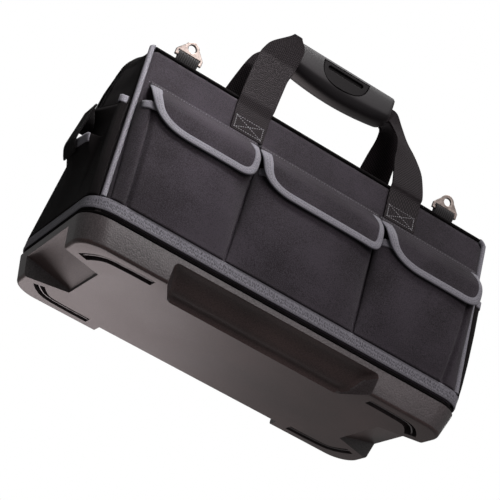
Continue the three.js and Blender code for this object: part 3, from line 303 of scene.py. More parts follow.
def thread_finish(name, slot, colour):
    """Bonded polyester thread: twisted, slightly shiny. Each stitch is small, so the twist is a fine noise."""
    material, tree, shader = new_finish(name, slot, Roughness=0.5)
    place = put(tree, "ShaderNodeTexCoord").outputs["Object"]
    twist = put(tree, "ShaderNodeTexNoise", [("Vector", place), ("Scale", 1500.0)])
    colour_between(tree, shader, twist.outputs["Fac"], colour[0], colour[1])
    bump_from(tree, shader, twist.outputs["Fac"], 0.1)
    return material



def ribbon_finish():
    """Ribbed ribbon: cords 2.5 mm apart that run up it, with a fine thread round each."""
    material, tree, shader = new_finish("ribbed_ribbon", "black_tape", Roughness=0.7, Sheen_Weight=0.1)
    place = put(tree, "ShaderNodeTexCoord").outputs["Object"]
    cords = put(tree, "ShaderNodeMapping", [("Vector", place), ("Scale", (1 / (RIB_SPACING * MM),) * 3)])
    feeds = [("Vector", cords.outputs["Vector"]), ("Scale", BAND), ("Distortion", 0.6)]
    ribs = put(tree, "ShaderNodeTexWave", feeds, bands_direction="X").outputs["Fac"]
    colour_between(tree, shader, ribs, "#0d0c0c", "#3a3638")
    bump_from(tree, shader, ribs, 0.5)
    return material


RIB_SPACING = 2.5
ribbon = ribbon_finish()
grey_thread = thread_finish("grey_bonded_thread", "grey_tape", ("#77747a", "#b4b1b7"))
pale_thread = thread_finish("pale_bonded_thread", "grey_tape", ("#98959a", "#cfccd1"))
dark_thread = thread_finish("dark_bonded_thread", "black_tape", ("#141213", "#2a2728"))

# %% [markdown]
# The base is polypropylene, injection moulded in a spark-eroded mould. That leaves an even pebble on the
# walls and a finer one on the bottom, both half matt. The grip is a softer moulding with a satin face. The
# rings are zinc with nickel plate, which keeps the default IOR and gets its look from its roughness.

# %% Moulded and metal finishes
def moulded_finish(name, slot, dark, light, grain, deep, rough, shine=0.5):
    material, tree, shader = new_finish(name, slot, IOR=1.49, Specular_IOR_Level=shine)
    place = put(tree, "ShaderNodeTexCoord").outputs["Object"]
    feeds = [("Vector", place), ("Scale", 1 / (grain * MM)), ("Detail", 2.0), ("Roughness", 0.6)]
    pebble = put(tree, "ShaderNodeTexNoise", feeds).outputs["Fac"]
    smear = put(tree, "ShaderNodeTexNoise", [("Vector", place), ("Scale", 9.0), ("Detail", 4.0)]).outputs["Fac"]
    both = put(tree, "ShaderNodeMath", [(0, pebble), (1, smear)], operation="ADD").outputs[0]
    half = put(tree, "ShaderNodeMath", [(0, both), (1, 0.5)], operation="MULTIPLY").outputs[0]
    colour_between(tree, shader, half, dark, light, 0.36, 0.64)
    feeds = [("Value", smear), ("To Min", rough - 0.07), ("To Max", rough + 0.07)]
    tree.links.new(put(tree, "ShaderNodeMapRange", feeds).outputs[0], shader.inputs["Roughness"])
    bump_from(tree, shader, pebble, deep)
    return material


base_floor = moulded_finish("polypropylene_fine_grain", "base_plastic", "#413131", "#6f5b59", 1.3, 0.22, 0.4)
base_wall = moulded_finish("polypropylene_spark_grain", "base_plastic", "#37302f", "#746a6c", 1.5, 0.3, 0.36, 0.9)
grip_plastic = moulded_finish("satin_moulded_grip", "grip_plastic", "#262224", "#322d30", 1.0, 0.04, 0.48)
# The insert is the grip's own plastic, made rougher; its colours are painted darker than the grip's as painted shade,
# against the front light that its flat face catches.
insert_plastic_painted_darker = moulded_finish("matt_insert_painted_shade", "grip_plastic", "#1c191a", "#262224", 1.0, 0.04, 0.6, 0.2)

nickel_plate, nickel_tree, nickel_shader = new_finish("nickel_plated_zinc", "nickel", Metallic=1.0)
nickel_place = put(nickel_tree, "ShaderNodeTexCoord").outputs["Object"]
nickel_cloud = put(nickel_tree, "ShaderNodeTexNoise", [("Vector", nickel_place), ("Scale", 260.0), ("Detail", 4.0)])
colour_between(nickel_tree, nickel_shader, nickel_cloud.outputs["Fac"], "#8f837d", "#c2b4ac")
feeds = [("Value", nickel_cloud.outputs["Fac"]), ("To Min", 0.26), ("To Max", 0.42)]
nickel_rough = put(nickel_tree, "ShaderNodeMapRange", feeds)
nickel_tree.links.new(nickel_rough.outputs[0], nickel_shader.inputs["Roughness"])
bump_from(nickel_tree, nickel_shader, nickel_cloud.outputs["Fac"], 0.02)

# %% [markdown]
# ## Helpers for pieces
#
# A cloth piece is one grid from the grid operator, whose points are moved on to the form, and whose UVs are
# stretched to the piece's real width and height. The Solidify modifier then gives it a wall on the inside.
# A grid could also be drawn and wrapped by hand, but a placed one repeats exactly.

# %% Piece helpers
def path_length(points):
    return sum((b - a).length for a, b in zip(points, points[1:]))


def laid_grid(columns, rows, place, outward):
    """A grid placed by place(u, v) in millimetres, facing the way that outward(point) points, UVs in metres."""
    bm = bmesh.new()
    uv = bm.loops.layers.uv.new("UVMap")
    bmesh.ops.create_grid(bm, x_segments=columns, y_segments=rows, size=0.5, calc_uvs=True)
    wide = path_length([place(i / columns, 0.5) for i in range(columns + 1)]) * MM
    tall = path_length([place(0.5, j / rows) for j in range(rows + 1)]) * MM
    for vert in bm.verts:
        vert.co = place(vert.co.x + 0.5, vert.co.y + 0.5) * MM
    for face in bm.faces:
        for loop in face.loops:
            loop[uv].uv = (loop[uv].uv.x * wide, loop[uv].uv.y * tall)
    bm.normal_update()
    if sum(f.normal.dot(outward(f.calc_center_median() / MM)) * f.calc_area() for f in bm.faces) < 0:
        bmesh.ops.reverse_faces(bm, faces=bm.faces[:])
    return bm


def closed_sweep(columns, rows, place, ends="filled"):
    """A grid that closes on itself round u. Its ends are filled, or joined to each other for a ring."""
    bm = laid_grid(columns, rows, place, lambda p: Vector((0, 0, 1)))
    bmesh.ops.remove_doubles(bm, verts=bm.verts[:], dist=1e-6)
    if ends == "filled":
        bmesh.ops.holes_fill(bm, edges=[e for e in bm.edges if e.is_boundary], sides=0)
    bmesh.ops.recalc_face_normals(bm, faces=bm.faces[:])
    return bm


def along(points):
    """A function of t, 0 to 1, that runs smoothly through a list of points."""
    reach = len(points) - 1

    def at(t):
        i = min(int(t * reach), reach - 1)
        f = t * reach - i
        p0, p1, p2 = points[max(i - 1, 0)], points[i], points[i + 1]
        p3 = points[min(i + 2, reach)]
        a = 2 * p1 + (p2 - p0) * f
        b = (2 * p0 - 5 * p1 + 4 * p2 - p3) * f * f + (3 * p1 - p0 - 3 * p2 + p3) * f**3
        return (a + b) / 2

    return at


def cord_on(path, radius, facing, around=12, rows=60, ring=False):
    """A round cord along path(t), t 0 to 1, with facing(t) the side that it shows."""
    def place(u, v):
        step = 0.004
        ahead = path((v + step) % 1 if ring else min(1, v + step))
        behind = path((v - step) % 1 if ring else max(0, v - step))
        tangent = (ahead - behind).normalized()
        side = tangent.cross(facing(v)).normalized()
        up = side.cross(tangent)
        turn = 2 * math.pi * u
        return path(v % 1 if ring else v) + (side * math.cos(turn) + up * math.sin(turn)) * radius

    return closed_sweep(around, rows, place, "joined" if ring else "filled")


def add_piece(name, bm, material, nodes=(), body="bag", wall=0.0, crease=40.0, round_off=0.0):
    """Makes the object, rides it on its body and gives it its wall and its rounded edges."""
    mesh = bpy.data.meshes.new(name)
    bm.to_mesh(mesh)
    bm.free()
    mesh.materials.append(material)
    mesh.shade_smooth()
    mesh.set_sharp_from_angle(angle=math.radians(crease))
    piece = bpy.data.objects.new(name, mesh)
    bpy.context.scene.collection.objects.link(piece)
    if wall:
        solid = piece.modifiers.new("wall", "SOLIDIFY")
        solid.thickness, solid.offset, solid.use_even_offset = wall * MM, -1, True
    if round_off:
        soft = piece.modifiers.new("round", "BEVEL")
        soft.width, soft.segments, soft.limit_method = round_off * MM, 3, "ANGLE"
        soft.angle_limit = math.radians(35)
    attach(piece, body)
    if nodes:
        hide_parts(*nodes)
    print(f"{name}: {len(mesh.polygons)} faces, {material.name}")
    return piece


def merged_copy(node):
    """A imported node's shape as a clean mesh: its loose triangles joined, and flat ones dissolved."""
    bm = bmesh.new()
    bm.from_mesh(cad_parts[node].data)
    bmesh.ops.remove_doubles(bm, verts=bm.verts[:], dist=1e-5)
    bmesh.ops.dissolve_limit(bm, angle_limit=math.radians(1), verts=bm.verts[:], edges=bm.edges[:])
    return bm


def creep(x, z, size=60.0, seed=0.0):
    """A slow unevenness of hand-sewn cloth, from -1 to 1."""
    return noise.noise(Vector((x / size, seed, z / size))) * 1.6


def outward_from_middle(p):
    return Vector((p.x * 0.4, p.y, p.z - 130))


FRONT, BACK = -1, 1

# %% [markdown]
# ## The stitching
#
# Every seam shows as a row of short stitches. Each stitch is an icosphere of twenty faces, stretched and
# laid on the cloth along the seam, because a painted line would vanish from the side. All the stitches of a
# seam are one piece.

# %% Stitch helpers
def sew(bm, path, facing, pitch=3.4, long=2.5, wide=0.75):
    """Lays stitches along a list of points in millimetres, facing(point) out of the cloth."""
    walked, last = 0.0, 0.0
    for a, b in zip(path, path[1:]):
        span = (b - a).length
        while span > 0 and last <= walked + span:
            spot = a.lerp(b, (last - walked) / span)
            forward = (b - a).normalized()
            up = facing(spot).normalized()
            side = up.cross(forward).normalized()
            up = forward.cross(side)
            turn = Matrix((forward, side, up)).transposed().to_4x4()
            shape = Matrix.Diagonal((long / 2 * MM, wide / 2 * MM, wide / 2.4 * MM, 1))
            bmesh.ops.create_icosphere(bm, subdivisions=1, radius=1, matrix=Matrix.Translation(spot * MM) @ turn @ shape)
            last += pitch
        walked += span


def row_of(count, at):
    return [at(i / count) for i in range(count + 1)]


# %% [markdown]
# ## The moulded base
#
# The tub starts as a cube. Its upright edges are bevelled to the rim's corners, its bottom is drawn in as a
# mould needs, and its lower edge is rounded. The scoop in front, the recess at each end, the bevel behind
# and the grooves in the feet are cut with a boolean, as the mould's inserts cut them, and a small bevel
# rounds every edge that is left.

# %% Base blank
def base_blank():
    bm = bmesh.new()
    half_x, half_y = RIM_LENGTH / 2 - LEDGE, RIM_DEPTH / 2 - LEDGE
    size = Matrix.Diagonal((2 * half_x * MM, 2 * half_y * MM, BASE_HEIGHT * MM, 1))
    bmesh.ops.create_cube(bm, size=1, matrix=Matrix.Translation((0, 0, BASE_HEIGHT / 2 * MM)) @ size)
    upright = [e for e in bm.edges if abs(e.verts[0].co.z - e.verts[1].co.z) > 1e-4]
    bmesh.ops.bevel(bm, geom=upright, offset=(RIM_CORNER - LEDGE) * MM, segments=14, profile=0.5, affect="EDGES", material=-1)
    low = [v for v in bm.verts if v.co.z < 1e-5]
    bmesh.ops.scale(bm, vec=(FOOT_HALF_X / half_x, FOOT_HALF_Y / half_y, 1), verts=low)
    rim = [e for e in bm.edges if all(v.co.z < 1e-5 for v in e.verts)]
    bmesh.ops.bevel(bm, geom=rim, offset=EDGE_ROUND * MM, segments=5, profile=0.5, affect="EDGES", material=-1)
    top = max(bm.faces, key=lambda f: f.calc_center_median().z)
    bmesh.ops.inset_region(bm, faces=[top], thickness=(LIP_INSET - LEDGE) * MM, use_even_offset=True)
    lifted = bmesh.ops.extrude_face_region(bm, geom=[top])
    raised = [v for v in lifted["geom"] if isinstance(v, bmesh.types.BMVert)]
    bmesh.ops.translate(bm, vec=(0, 0, (STRIP_TOP - LEDGE - BASE_HEIGHT) * MM), verts=raised)
    if top.is_valid:
        bmesh.ops.delete(bm, geom=[top], context="FACES")
    bmesh.ops.recalc_face_normals(bm, faces=bm.faces[:])
    return bm


# %% [markdown]
# A scoop's cutter is a strip along its slope, extruded downwards. Seen from the side, the front scoop rolls:
# it runs in under the wall, humps, and drops to the bottom in a short step.

# %% Base cutters
FRONT_ROLL = [(-12, 28), (0, 22), (6, 21.4), (13, 19), (19, 14.6), (23, 10.4), (27, 7.6), (31, 6.2), (35, 5.6), (38.5, 5), (40, 3.4), (42, 0), (44, -5)]
END_SLOPE = [(-12, 23), (0, 20), (12, 15.6), (24, 11), (36, 6.6), (43, 4.2), (45.5, 3), (46.3, 0), (48, -5)]
BACK_SLOPE = [(-12, 18.3), (0, 11), (9, 5.5), (18, 0), (26, -5)]


def is_end_edge(edge):
    """True on the rim between a cutter's slope and its two end walls."""
    if not all(v.co.z > -7 * MM for v in edge.verts):
        return False
    across = [abs(f.normal.x) > 0.6 for f in edge.link_faces]
    return sum(across) == 1


def cut_wedge(bm, slope, half, taper, wall, turn, rounded=False):
    """Adds a recess of the given half length, in a wall that is this far out, turned to its side of the base."""
    reach = slope[-2][0]
    fresh = bmesh.new()
    bmesh.ops.create_grid(fresh, x_segments=12, y_segments=len(slope) - 1, size=0.5)
    for vert in fresh.verts:
        inward, height = slope[round((vert.co.y + 0.5) * (len(slope) - 1))]
        wide = half - taper * clamp(inward / reach, -0.3, 1.1)
        vert.co = Vector((vert.co.x * 2 * wide, -(wall - inward), height)) * MM
    down = bmesh.ops.extrude_face_region(fresh, geom=fresh.faces[:])
    for vert in down["geom"]:
        if isinstance(vert, bmesh.types.BMVert):
            vert.co.z = -8 * MM
    bmesh.ops.recalc_face_normals(fresh, faces=fresh.faces[:])
    if rounded:
        ends = [e for e in fresh.edges if is_end_edge(e)]
        bmesh.ops.bevel(fresh, geom=ends, offset=5 * MM, segments=5, profile=0.5, affect="EDGES", material=-1)
    bmesh.ops.rotate(fresh, matrix=Matrix.Rotation(turn, 3, "Z"), verts=fresh.verts[:])
    join(bm, fresh)


def join(bm, other):
    """Moves another bmesh into this one."""
    shelf = bpy.data.meshes.new("shelf")
    other.to_mesh(shelf)
    other.free()
    bm.from_mesh(shelf)
    bpy.data.meshes.remove(shelf)


GROOVE_PLACES = [(129, 89.5), (150, 89.3), (172, 88), (180, 86), (186, 82), (191, 76), (195, 70), (198, 64)]
GROOVE_DEEP, GROOVE_WIDE, RIB_WIDE, RIB_LOW = 9, 13, 1.8, 1.4


def groove_run(side_x, side_y, wide, low, high, shift=0.0):
    """A bar of the given width along a foot groove, between two heights."""
    path = [Vector((x, y, 0)) for x, y in GROOVE_PLACES]
    fresh = bmesh.new()
    bmesh.ops.create_grid(fresh, x_segments=1, y_segments=len(path) - 1, size=0.5)
    for vert in fresh.verts:
        i = round((vert.co.y + 0.5) * (len(path) - 1))
        tangent = (path[min(i + 1, len(path) - 1)] - path[max(i - 1, 0)]).normalized()
        spot = path[i] + Vector((-tangent.y, tangent.x, 0)) * (shift + vert.co.x * wide)
        vert.co = Vector((side_x * spot.x, side_y * spot.y, low)) * MM
    up = bmesh.ops.extrude_face_region(fresh, geom=fresh.faces[:])
    for vert in up["geom"]:
        if isinstance(vert, bmesh.types.BMVert):
            vert.co.z = high * MM
    bmesh.ops.recalc_face_normals(fresh, faces=fresh.faces[:])
    return fresh


def carved(bm, cutter_bm, name):
    """The blank with the cutters taken out of it, as a new bmesh."""
    objects = []
    for label, shape in (("blank", bm), ("cutter", cutter_bm)):
        mesh = bpy.data.meshes.new(f"{name}_{label}")
        shape.to_mesh(mesh)
        shape.free()
        objects.append(bpy.data.objects.new(f"{name}_{label}", mesh))
        bpy.context.scene.collection.objects.link(objects[-1])
    blank, cutter = objects
    cut = blank.modifiers.new("cut", "BOOLEAN")
    cut.object, cut.operation, cut.solver = cutter, "DIFFERENCE", "EXACT"
    done = blank.evaluated_get(bpy.context.evaluated_depsgraph_get())
    result = bmesh.new()
    result.from_mesh(done.to_mesh())
    done.to_mesh_clear()
    for thing in objects:
        mesh = thing.data
        bpy.data.objects.remove(thing)
        bpy.data.meshes.remove(mesh)
    if not result.faces:
        raise RuntimeError(f"{name}: the cut left nothing")
    bmesh.ops.remove_doubles(result, verts=result.verts[:], dist=2e-5)
    bmesh.ops.dissolve_limit(result, angle_limit=math.radians(0.5), verts=result.verts[:], edges=result.edges[:])
    return result


# %% Base
cutters = bmesh.new()
cut_wedge(cutters, FRONT_ROLL, 121, 19, FOOT_HALF_Y, 0, True)
cut_wedge(cutters, BACK_SLOPE, 114, 0, FOOT_HALF_Y, math.pi)
cut_wedge(cutters, END_SLOPE, 61, 19, FOOT_HALF_X, math.pi / 2)
cut_wedge(cutters, END_SLOPE, 61, 19, FOOT_HALF_X, -math.pi / 2)
for side_x in (-1, 1):
    for side_y in (FRONT, BACK):
        join(cutters, groove_run(side_x, side_y, GROOVE_WIDE, -3, GROOVE_DEEP))
base = add_piece("base_tub", carved(base_blank(), cutters, "base"), base_floor, ["base_tray"], crease=30)
base.data.materials.append(base_wall)
for face in base.data.polygons:
    if face.normal.z > -0.35:
        face.material_index = 1
edge = base.modifiers.new("edges", "BEVEL")
edge.width, edge.segments, edge.limit_method, edge.angle_limit = 0.9 * MM, 3, "ANGLE", math.radians(32)
edge.harden_normals = True
ribs = bmesh.new()
for side_x in (-1, 1):
    for side_y in (FRONT, BACK):
        join(ribs, groove_run(side_x, side_y, RIB_WIDE, RIB_LOW, GROOVE_DEEP + 0.5, 1))
add_piece("groove_ribs", ribs, base_wall, round_off=0.3)


# %% [markdown]
# ## The rim tape
#
# A grey knitted tape runs round the rim over the cloth's lower edge, with two rows of stitches and a black
# bead under it. It is one rounded section swept round the rim, closed on itself.

# %% Rim tape, bead and stitches
def rim_spot(inset, t):
    """The point a share t round the rim, this far in from its edge, and the way out from it there."""
    half_x, half_y = RIM_LENGTH / 2 - inset, RIM_DEPTH / 2 - inset
    radius = RIM_CORNER - inset
    arc = math.pi / 2 * radius
    runs = [2 * (half_x - radius), arc, 2 * (half_y - radius), arc] * 2
    left = (t % 1) * sum(runs)
    corners = [(1, -1), (1, 1), (-1, 1), (-1, -1)]
    starts = [(-1, -1), (1, -1), (1, 1), (-1, 1)]
    for i, run in enumerate(runs):
        if left <= run or i == 7:
            break
        left -= run
    side = i // 2
    out = Matrix.Rotation(side * math.pi / 2, 3, "Z") @ Vector((0, -1, 0))
    if i % 2 == 0:
        forward = Matrix.Rotation(math.pi / 2, 3, "Z") @ out
        sx, sy = starts[side]
        middle = Vector((sx * (half_x - radius), sy * (half_y - radius), 0))
        return middle + out * radius + forward * left, out
    turned = Matrix.Rotation(left / radius, 3, "Z") @ out
    sx, sy = corners[side]
    return Vector((sx * (half_x - radius), sy * (half_y - radius), 0)) + turned * radius, turned


STRIP_MIDDLE = (STRIP_LOW + STRIP_TOP) / 2


def strip_section(u):
    """Height and inset of the tape's rounded section."""
    turn = 2 * math.pi * u
    up, out = math.sin(turn), math.cos(turn)
    height = 6.5 * math.copysign(abs(up) ** 0.35, up)
    return height, 0.8 - 0.8 * math.copysign(abs(out) ** 0.6, out)


def strip_place(u, v):
    height, inset = strip_section(u)
    spot, out = rim_spot(0, v)
    return spot - out * inset + Vector((0, 0, STRIP_MIDDLE + height))


add_piece("rim_tape", closed_sweep(24, 320, strip_place, "joined"), grey_tape, ["base_strip"], crease=60)
bead = cord_on(lambda t: rim_spot(3.3, t)[0] + Vector((0, 0, 31.5)), 1.3, lambda t: Vector((0, 0, 1)), 10, 260, True)
add_piece("rim_bead", bead, black_tape)
rim_stitches = bmesh.new()
for height in (37.6, 45.4):
    ring = [rim_spot(0, i / 500)[0] + Vector((0, 0, height)) for i in range(501)]
    sew(rim_stitches, ring, lambda p: Vector((p.x / 4, p.y, 0)) if abs(p.y) > 80 else Vector((p.x, 0, 0)))
add_piece("rim_stitches", rim_stitches, grey_thread)

# %% [markdown]
# ## The cloth faces and ends
#
# Front and back are flat panels that bend round the rim's corners at the foot. The ends are one band of
# cloth each side of a zip, which goes up one end, over the shoulder and across the top, and a panel below
# it. The band is given the slight puckers that a sewn band has at its seams.

# %% Faces, ends, gusset and zip
def face_place(side_y):
    def place(u, v):
        x = (2 * u - 1) * (SEAM_TOP - SEAM_SETBACK)
        corner = TOP_CORNERS[-1 if x < 0 else 1]
        over = max(0, abs(x) - (SEAM_TOP - SEAM_SETBACK - corner)) / corner
        top = PANEL_TOP - SEAM_SETBACK - corner * (1 - math.sqrt(max(0, 1 - over * over)))
        z = mix(PANEL_LOW, top, v)
        edge = (2 * u - 1) * (seam_x(z) - SEAM_SETBACK)
        quiet = math.sin(math.pi * u) * math.sin(math.pi * v)
        sag = (creep(edge, z, 70, 3 + side_y) - 1) * 0.5 * quiet
        return Vector((edge, side_y * (face_depth(edge, z) + sag), z))

    return place


for label, side_y in (("front", FRONT), ("back", BACK)):
    bm = laid_grid(90, 48, face_place(side_y), lambda p, s=side_y: Vector((0, s, 0)))
    add_piece(f"cloth_{label}", bm, charcoal_polyester, [f"{label}_panel"], wall=CLOTH)


def end_place(side):
    def place(u, v):
        z = mix(PANEL_LOW, ZIP_LOW, v)
        wide = seam_y(z)
        share = (2 * u - 1) * (1 - SEAM_SETBACK / wide)
        return Vector((side * end_reach(share, z), share * wide, z))

    return place


GUSSET_LOW = ZIP_LOW + GAP


def band_station(t):
    """Side and place s of a share t along the whole band."""
    s = 3 * (1 - abs(2 * t - 1))
    return (-1 if t < 0.5 else 1), s


def band_place(side_y):
    def place(u, v):
        side, s = band_station(v)
        wide = gusset_point(side, s, 1, GUSSET_LOW).y
        share = mix(1 - SEAM_SETBACK / wide, (ZIP_HALF + GAP) / wide, u)
        spot = gusset_point(side, s, side_y * share, GUSSET_LOW)
        pucker = math.sin(path_place(v) / 9) * 0.35 * (1 - u) * u * 4
        return spot + outward_from_middle(spot).normalized() * (pucker - 0.35)

    return place


def path_place(v):
    """Millimetres along the band's seam, near enough for puckers."""
    return v * 640


def zip_place(u, v):
    side, s = band_station(v)
    wide = gusset_point(side, s, 1, GUSSET_LOW).y
    spot = gusset_point(side, s, ZIP_HALF / wide, GUSSET_LOW)
    return Vector((spot.x, (2 * u - 1) * ZIP_HALF, spot.z))


for label, side_y in (("front", FRONT), ("back", BACK)):
    bm = laid_grid(12, 240, band_place(side_y), outward_from_middle)
    add_piece(f"band_{label}", bm, black_polyester, [f"gusset_{label}"], wall=CLOTH - 0.4)
add_piece("zip_tape", laid_grid(8, 240, zip_place, outward_from_middle), black_tape, wall=CLOTH)

teeth = bmesh.new()
TOOTH_PITCH = 2.6
zip_line = [zip_place(0.5, i / 700) for i in range(701)]
walked, due, hand = 0.0, 1.0, 1
for a, b in zip(zip_line, zip_line[1:]):
    walked += (b - a).length
    if walked < due:
        continue
    due += TOOTH_PITCH
    forward = (b - a).normalized()
    side = Vector((0, 1, 0))
    up = forward.cross(side).normalized()
    if up.dot(outward_from_middle(b)) < 0:
        up = -up
    turn = Matrix((forward, side, up)).transposed().to_4x4()
    for lean_to in (-1, 1):
        spot = b + side * lean_to * 1.5 + forward * lean_to * TOOTH_PITCH / 4 + up * 0.5
        shape = Matrix.Diagonal((1.0 * MM, 1.9 * MM, 0.9 * MM, 1))
        bmesh.ops.create_icosphere(teeth, subdivisions=1, radius=1, matrix=Matrix.Translation(spot * MM) @ turn @ shape)
add_piece("zip_teeth", teeth, black_tape, ["zip"])

for label, side in (("left", -1), ("right", 1)):
    bm = laid_grid(48, 40, end_place(side), lambda p, s=side: Vector((s, 0, 0)))
    add_piece(f"end_{label}", bm, black_polyester, [f"end_panel_{label}"], wall=CLOTH)

# %% [markdown]
# ## Piping and top cord
#
# Grey piping covers the seams where the faces meet the ends, and turns the top corners. A black cord goes on
# along the top. Both are filler cord in a folded tape: a round sweep along the seam.

# %% Piping and hems
def piping_path(side, side_y):
    low = STRIP_TOP + PIPING_RADIUS * 0.3
    points = [gusset_point(side, s / 8, side_y, low) for s in range(9)]
    return points + [gusset_point(side, s, side_y, low) for s in (1.25, 1.5, 1.75, 1.95)]


for label, side in (("left", -1), ("right", 1)):
    for face, side_y in (("front", FRONT), ("back", BACK)):
        bm = cord_on(along(piping_path(side, side_y)), PIPING_RADIUS, lambda t, y=side_y: Vector((0.3, y, 0.1)), 14, 110)
        add_piece(f"cord_{face}_{label}", bm, binding_tape, [f"piping_{face}_{label}"])

for face, side_y in (("front", FRONT), ("back", BACK)):
    reach = SEAM_TOP - max(TOP_CORNERS.values()) + 1
    line = [Vector((u * reach, side_y * TOP_HALF_Y, PANEL_TOP)) for u in (-1.01, -0.5, 0, 0.5, 1)]
    bm = cord_on(along(line), HEM_RADIUS, lambda t, y=side_y: Vector((0, y, 0.2)), 12, 80)
    add_piece(f"top_cord_{face}", bm, black_tape, [f"top_hem_{face}"])

# %% [markdown]
# ## Front pockets
#
# Three open-topped pockets are sewn flat at their sides and foot and belly out towards their mouths. Their
# cloth is full, so it wanders a little between the seams. The left pocket has a pleat near its outer side.

# %% Pockets
POCKET_BULGE = [(0, 0.02), (0.1, 0.2), (0.35, 0.56), (0.65, 0.84), (1, 1)]
PLEAT_FOOT, PLEAT_MOUTH = 190, 200
POCKETS = {
    "left": ((-213, -74.5), (-206, -79)),
    "middle": ((-71.5, 79), (-76, 75)),
    "right": ((82, 213), (78, 206)),
}


def pocket_share(z):
    return clamp((z - POCKET_FOOT) / (POCKET_MOUTH - POCKET_FOOT))


def pocket_bulge(z):
    return POCKET_DEPTH * eased(POCKET_BULGE, pocket_share(z))


def pocket_point(name, u, z, out):
    """A point on a pocket's outside, u across it from -1 to 1."""
    mouth, foot = POCKETS[name]
    w = pocket_share(z)
    x = mix(mix(foot[0], mouth[0], w), mix(foot[1], mouth[1], w), (u + 1) / 2)
    depth = GAP + POCKET_CLOTH + pocket_bulge(z) * math.sqrt(max(0, 1 - abs(u) ** 6)) + out
    return Vector((x, -face_depth(x, z) - depth, z))


def pocket_place(name):
    def place(u, v):
        wide = math.sin((u - 0.5) * math.pi)
        z = mix(POCKET_FOOT, POCKET_MOUTH, v)
        quiet = max(0, 1 - abs(wide) ** 4) * clamp(v * 4)
        x = pocket_point(name, wide, z, 0).x
        fold = creep(x, z * 0.6, 45, 11) * 1.1 * quiet
        if (name, x < 0) in (("left", True), ("right", False)):
            line = mix(PLEAT_FOOT, PLEAT_MOUTH, v)
            fold -= 4.5 * math.exp(-(((abs(x) - line) / 2.5) ** 2)) * clamp((1 - abs(wide)) * 30)
        return pocket_point(name, wide, z, fold)

    return place


for name in POCKETS:
    bm = laid_grid(96, 60, pocket_place(name), lambda p: Vector((0, -1, 0)))
    add_piece(f"bellows_{name}", bm, charcoal_polyester, [f"pocket_{name}"], wall=POCKET_CLOTH)

    def mouth_place(u, v, name=name):
        z = mix(POCKET_MOUTH - 9, POCKET_MOUTH + GAP, v)
        return pocket_point(name, mix(-0.975, 0.975, u), min(z, POCKET_MOUTH), GAP + TAPE) + Vector((0, 0, z - min(z, POCKET_MOUTH)))

    bm = laid_grid(60, 4, mouth_place, lambda p: Vector((0, -1, 0)))
    add_piece(f"mouth_tape_{name}", bm, binding_tape, [f"pocket_tape_{name}"], wall=TAPE)

# %% [markdown]
# ## Flaps
#
# Each flap is sewn to the front above its pocket, rolls over the full mouth and hangs with rounded lower
# corners. Its edge is bound with grey tape, folded over and stitched through. The grid's rows end on the
# flap's outline, so no cloth has to be trimmed away.

# %% Flaps and bindings
FLAPS = {
    "left": dict(left=-206, right=-75, slant=1.5, corner_left=46, corner_right=24),
    "middle": dict(left=-71, right=81, slant=2, corner_left=36, corner_right=18),
    "right": dict(left=85, right=212, slant=3, corner_left=42, corner_right=26),
}
BINDING_TOP = FLAP_SEAM - FLAP_BINDING


def flap_out(z):
    lift = math.sin(clamp((FLAP_SEAM - z) / (FLAP_SEAM - POCKET_MOUTH)) * math.pi / 2) ** 1.4
    return (pocket_bulge(min(z, POCKET_MOUTH)) + FLAP_PROUD) * lift


def flap_point(flap, x, z, out):
    u = clamp((2 * x - flap["left"] - flap["right"]) / (flap["right"] - flap["left"]), -1.1, 1.1)
    depth = GAP + flap_out(z) * (1 - FLAP_DROOP * abs(u) ** 8) + out
    return Vector((x, -face_depth(x, z) - depth, z))


def flap_sides(flap, z):
    """The flap's left and right edges at a height."""
    left, right, slant = flap["left"], flap["right"], flap["slant"]
    low_left, low_right = flap["corner_left"], flap["corner_right"]
    if z >= FLAP_FOOT + low_left:
        a = mix(left, left - slant, clamp((z - FLAP_FOOT - low_left) / (BINDING_TOP - FLAP_FOOT - low_left)))
    else:
        s = math.sqrt(max(0, z - FLAP_FOOT) / low_left)
        t = 1 - s
        a = s * s * left + 2 * s * t * (left + 0.3 * slant) + t * t * (left + 1.1 * low_left)
    s = math.sqrt(clamp((z - FLAP_FOOT) / low_right))
    b = right - (1 - s) ** 2 * low_right
    return a, b


def flap_place(flap):
    def place(u, v):
        z = mix(FLAP_SEAM - GAP, FLAP_FOOT + 1.2, math.sin(v * math.pi / 2))
        a, b = flap_sides(flap, z)
        x = mix(a + 1.2, b - 1.2, u)
        quiet = math.sin(math.pi * u) * math.sin(math.pi * min(1, v * 1.1))
        return flap_point(flap, x, z, POCKET_CLOTH + creep(x, z, 38, 23) * 0.7 * max(0, quiet))

    return place


def flap_outline(flap, count=110):
    """Points (x, z) down the left side, along the foot and up the right side, evenly spaced."""
    rough = [BINDING_TOP + (FLAP_FOOT - BINDING_TOP) * math.sin(i / 80 * math.pi / 2) for i in range(81)]
    points = [Vector((flap_sides(flap, z)[0], 0, z)) for z in rough]
    points += [Vector((flap_sides(flap, z)[1], 0, z)) for z in reversed(rough)]
    total = path_length(points)
    even, walked, i = [points[0]], 0.0, 0
    for k in range(1, count):
        target = total * k / count
        while walked + (points[i + 1] - points[i]).length < target:
            walked += (points[i + 1] - points[i]).length
            i += 1
        even.append(points[i].lerp(points[i + 1], (target - walked) / (points[i + 1] - points[i]).length))
    return even + [points[-1]]


def inset_along(points, distance):
    """The outline moved in, to its left as it runs."""
    moved = []
    last = len(points) - 1
    for i, p in enumerate(points):
        ahead = points[min(i + 1, last)] - points[max(i - 1, 0)]
        inward = Vector((-ahead.z, 0, ahead.x)).normalized()
        level = clamp(1 - min(i, last - i) / 7)
        flat = Vector((1 if i < last / 2 else -1, 0, 0))
        moved.append(p + inward.lerp(flat, level).normalized() * distance * (1 + 0.35 * level + 0.25 * clamp(1 - i / 22)))
    return moved


BINDING_ROWS = 110


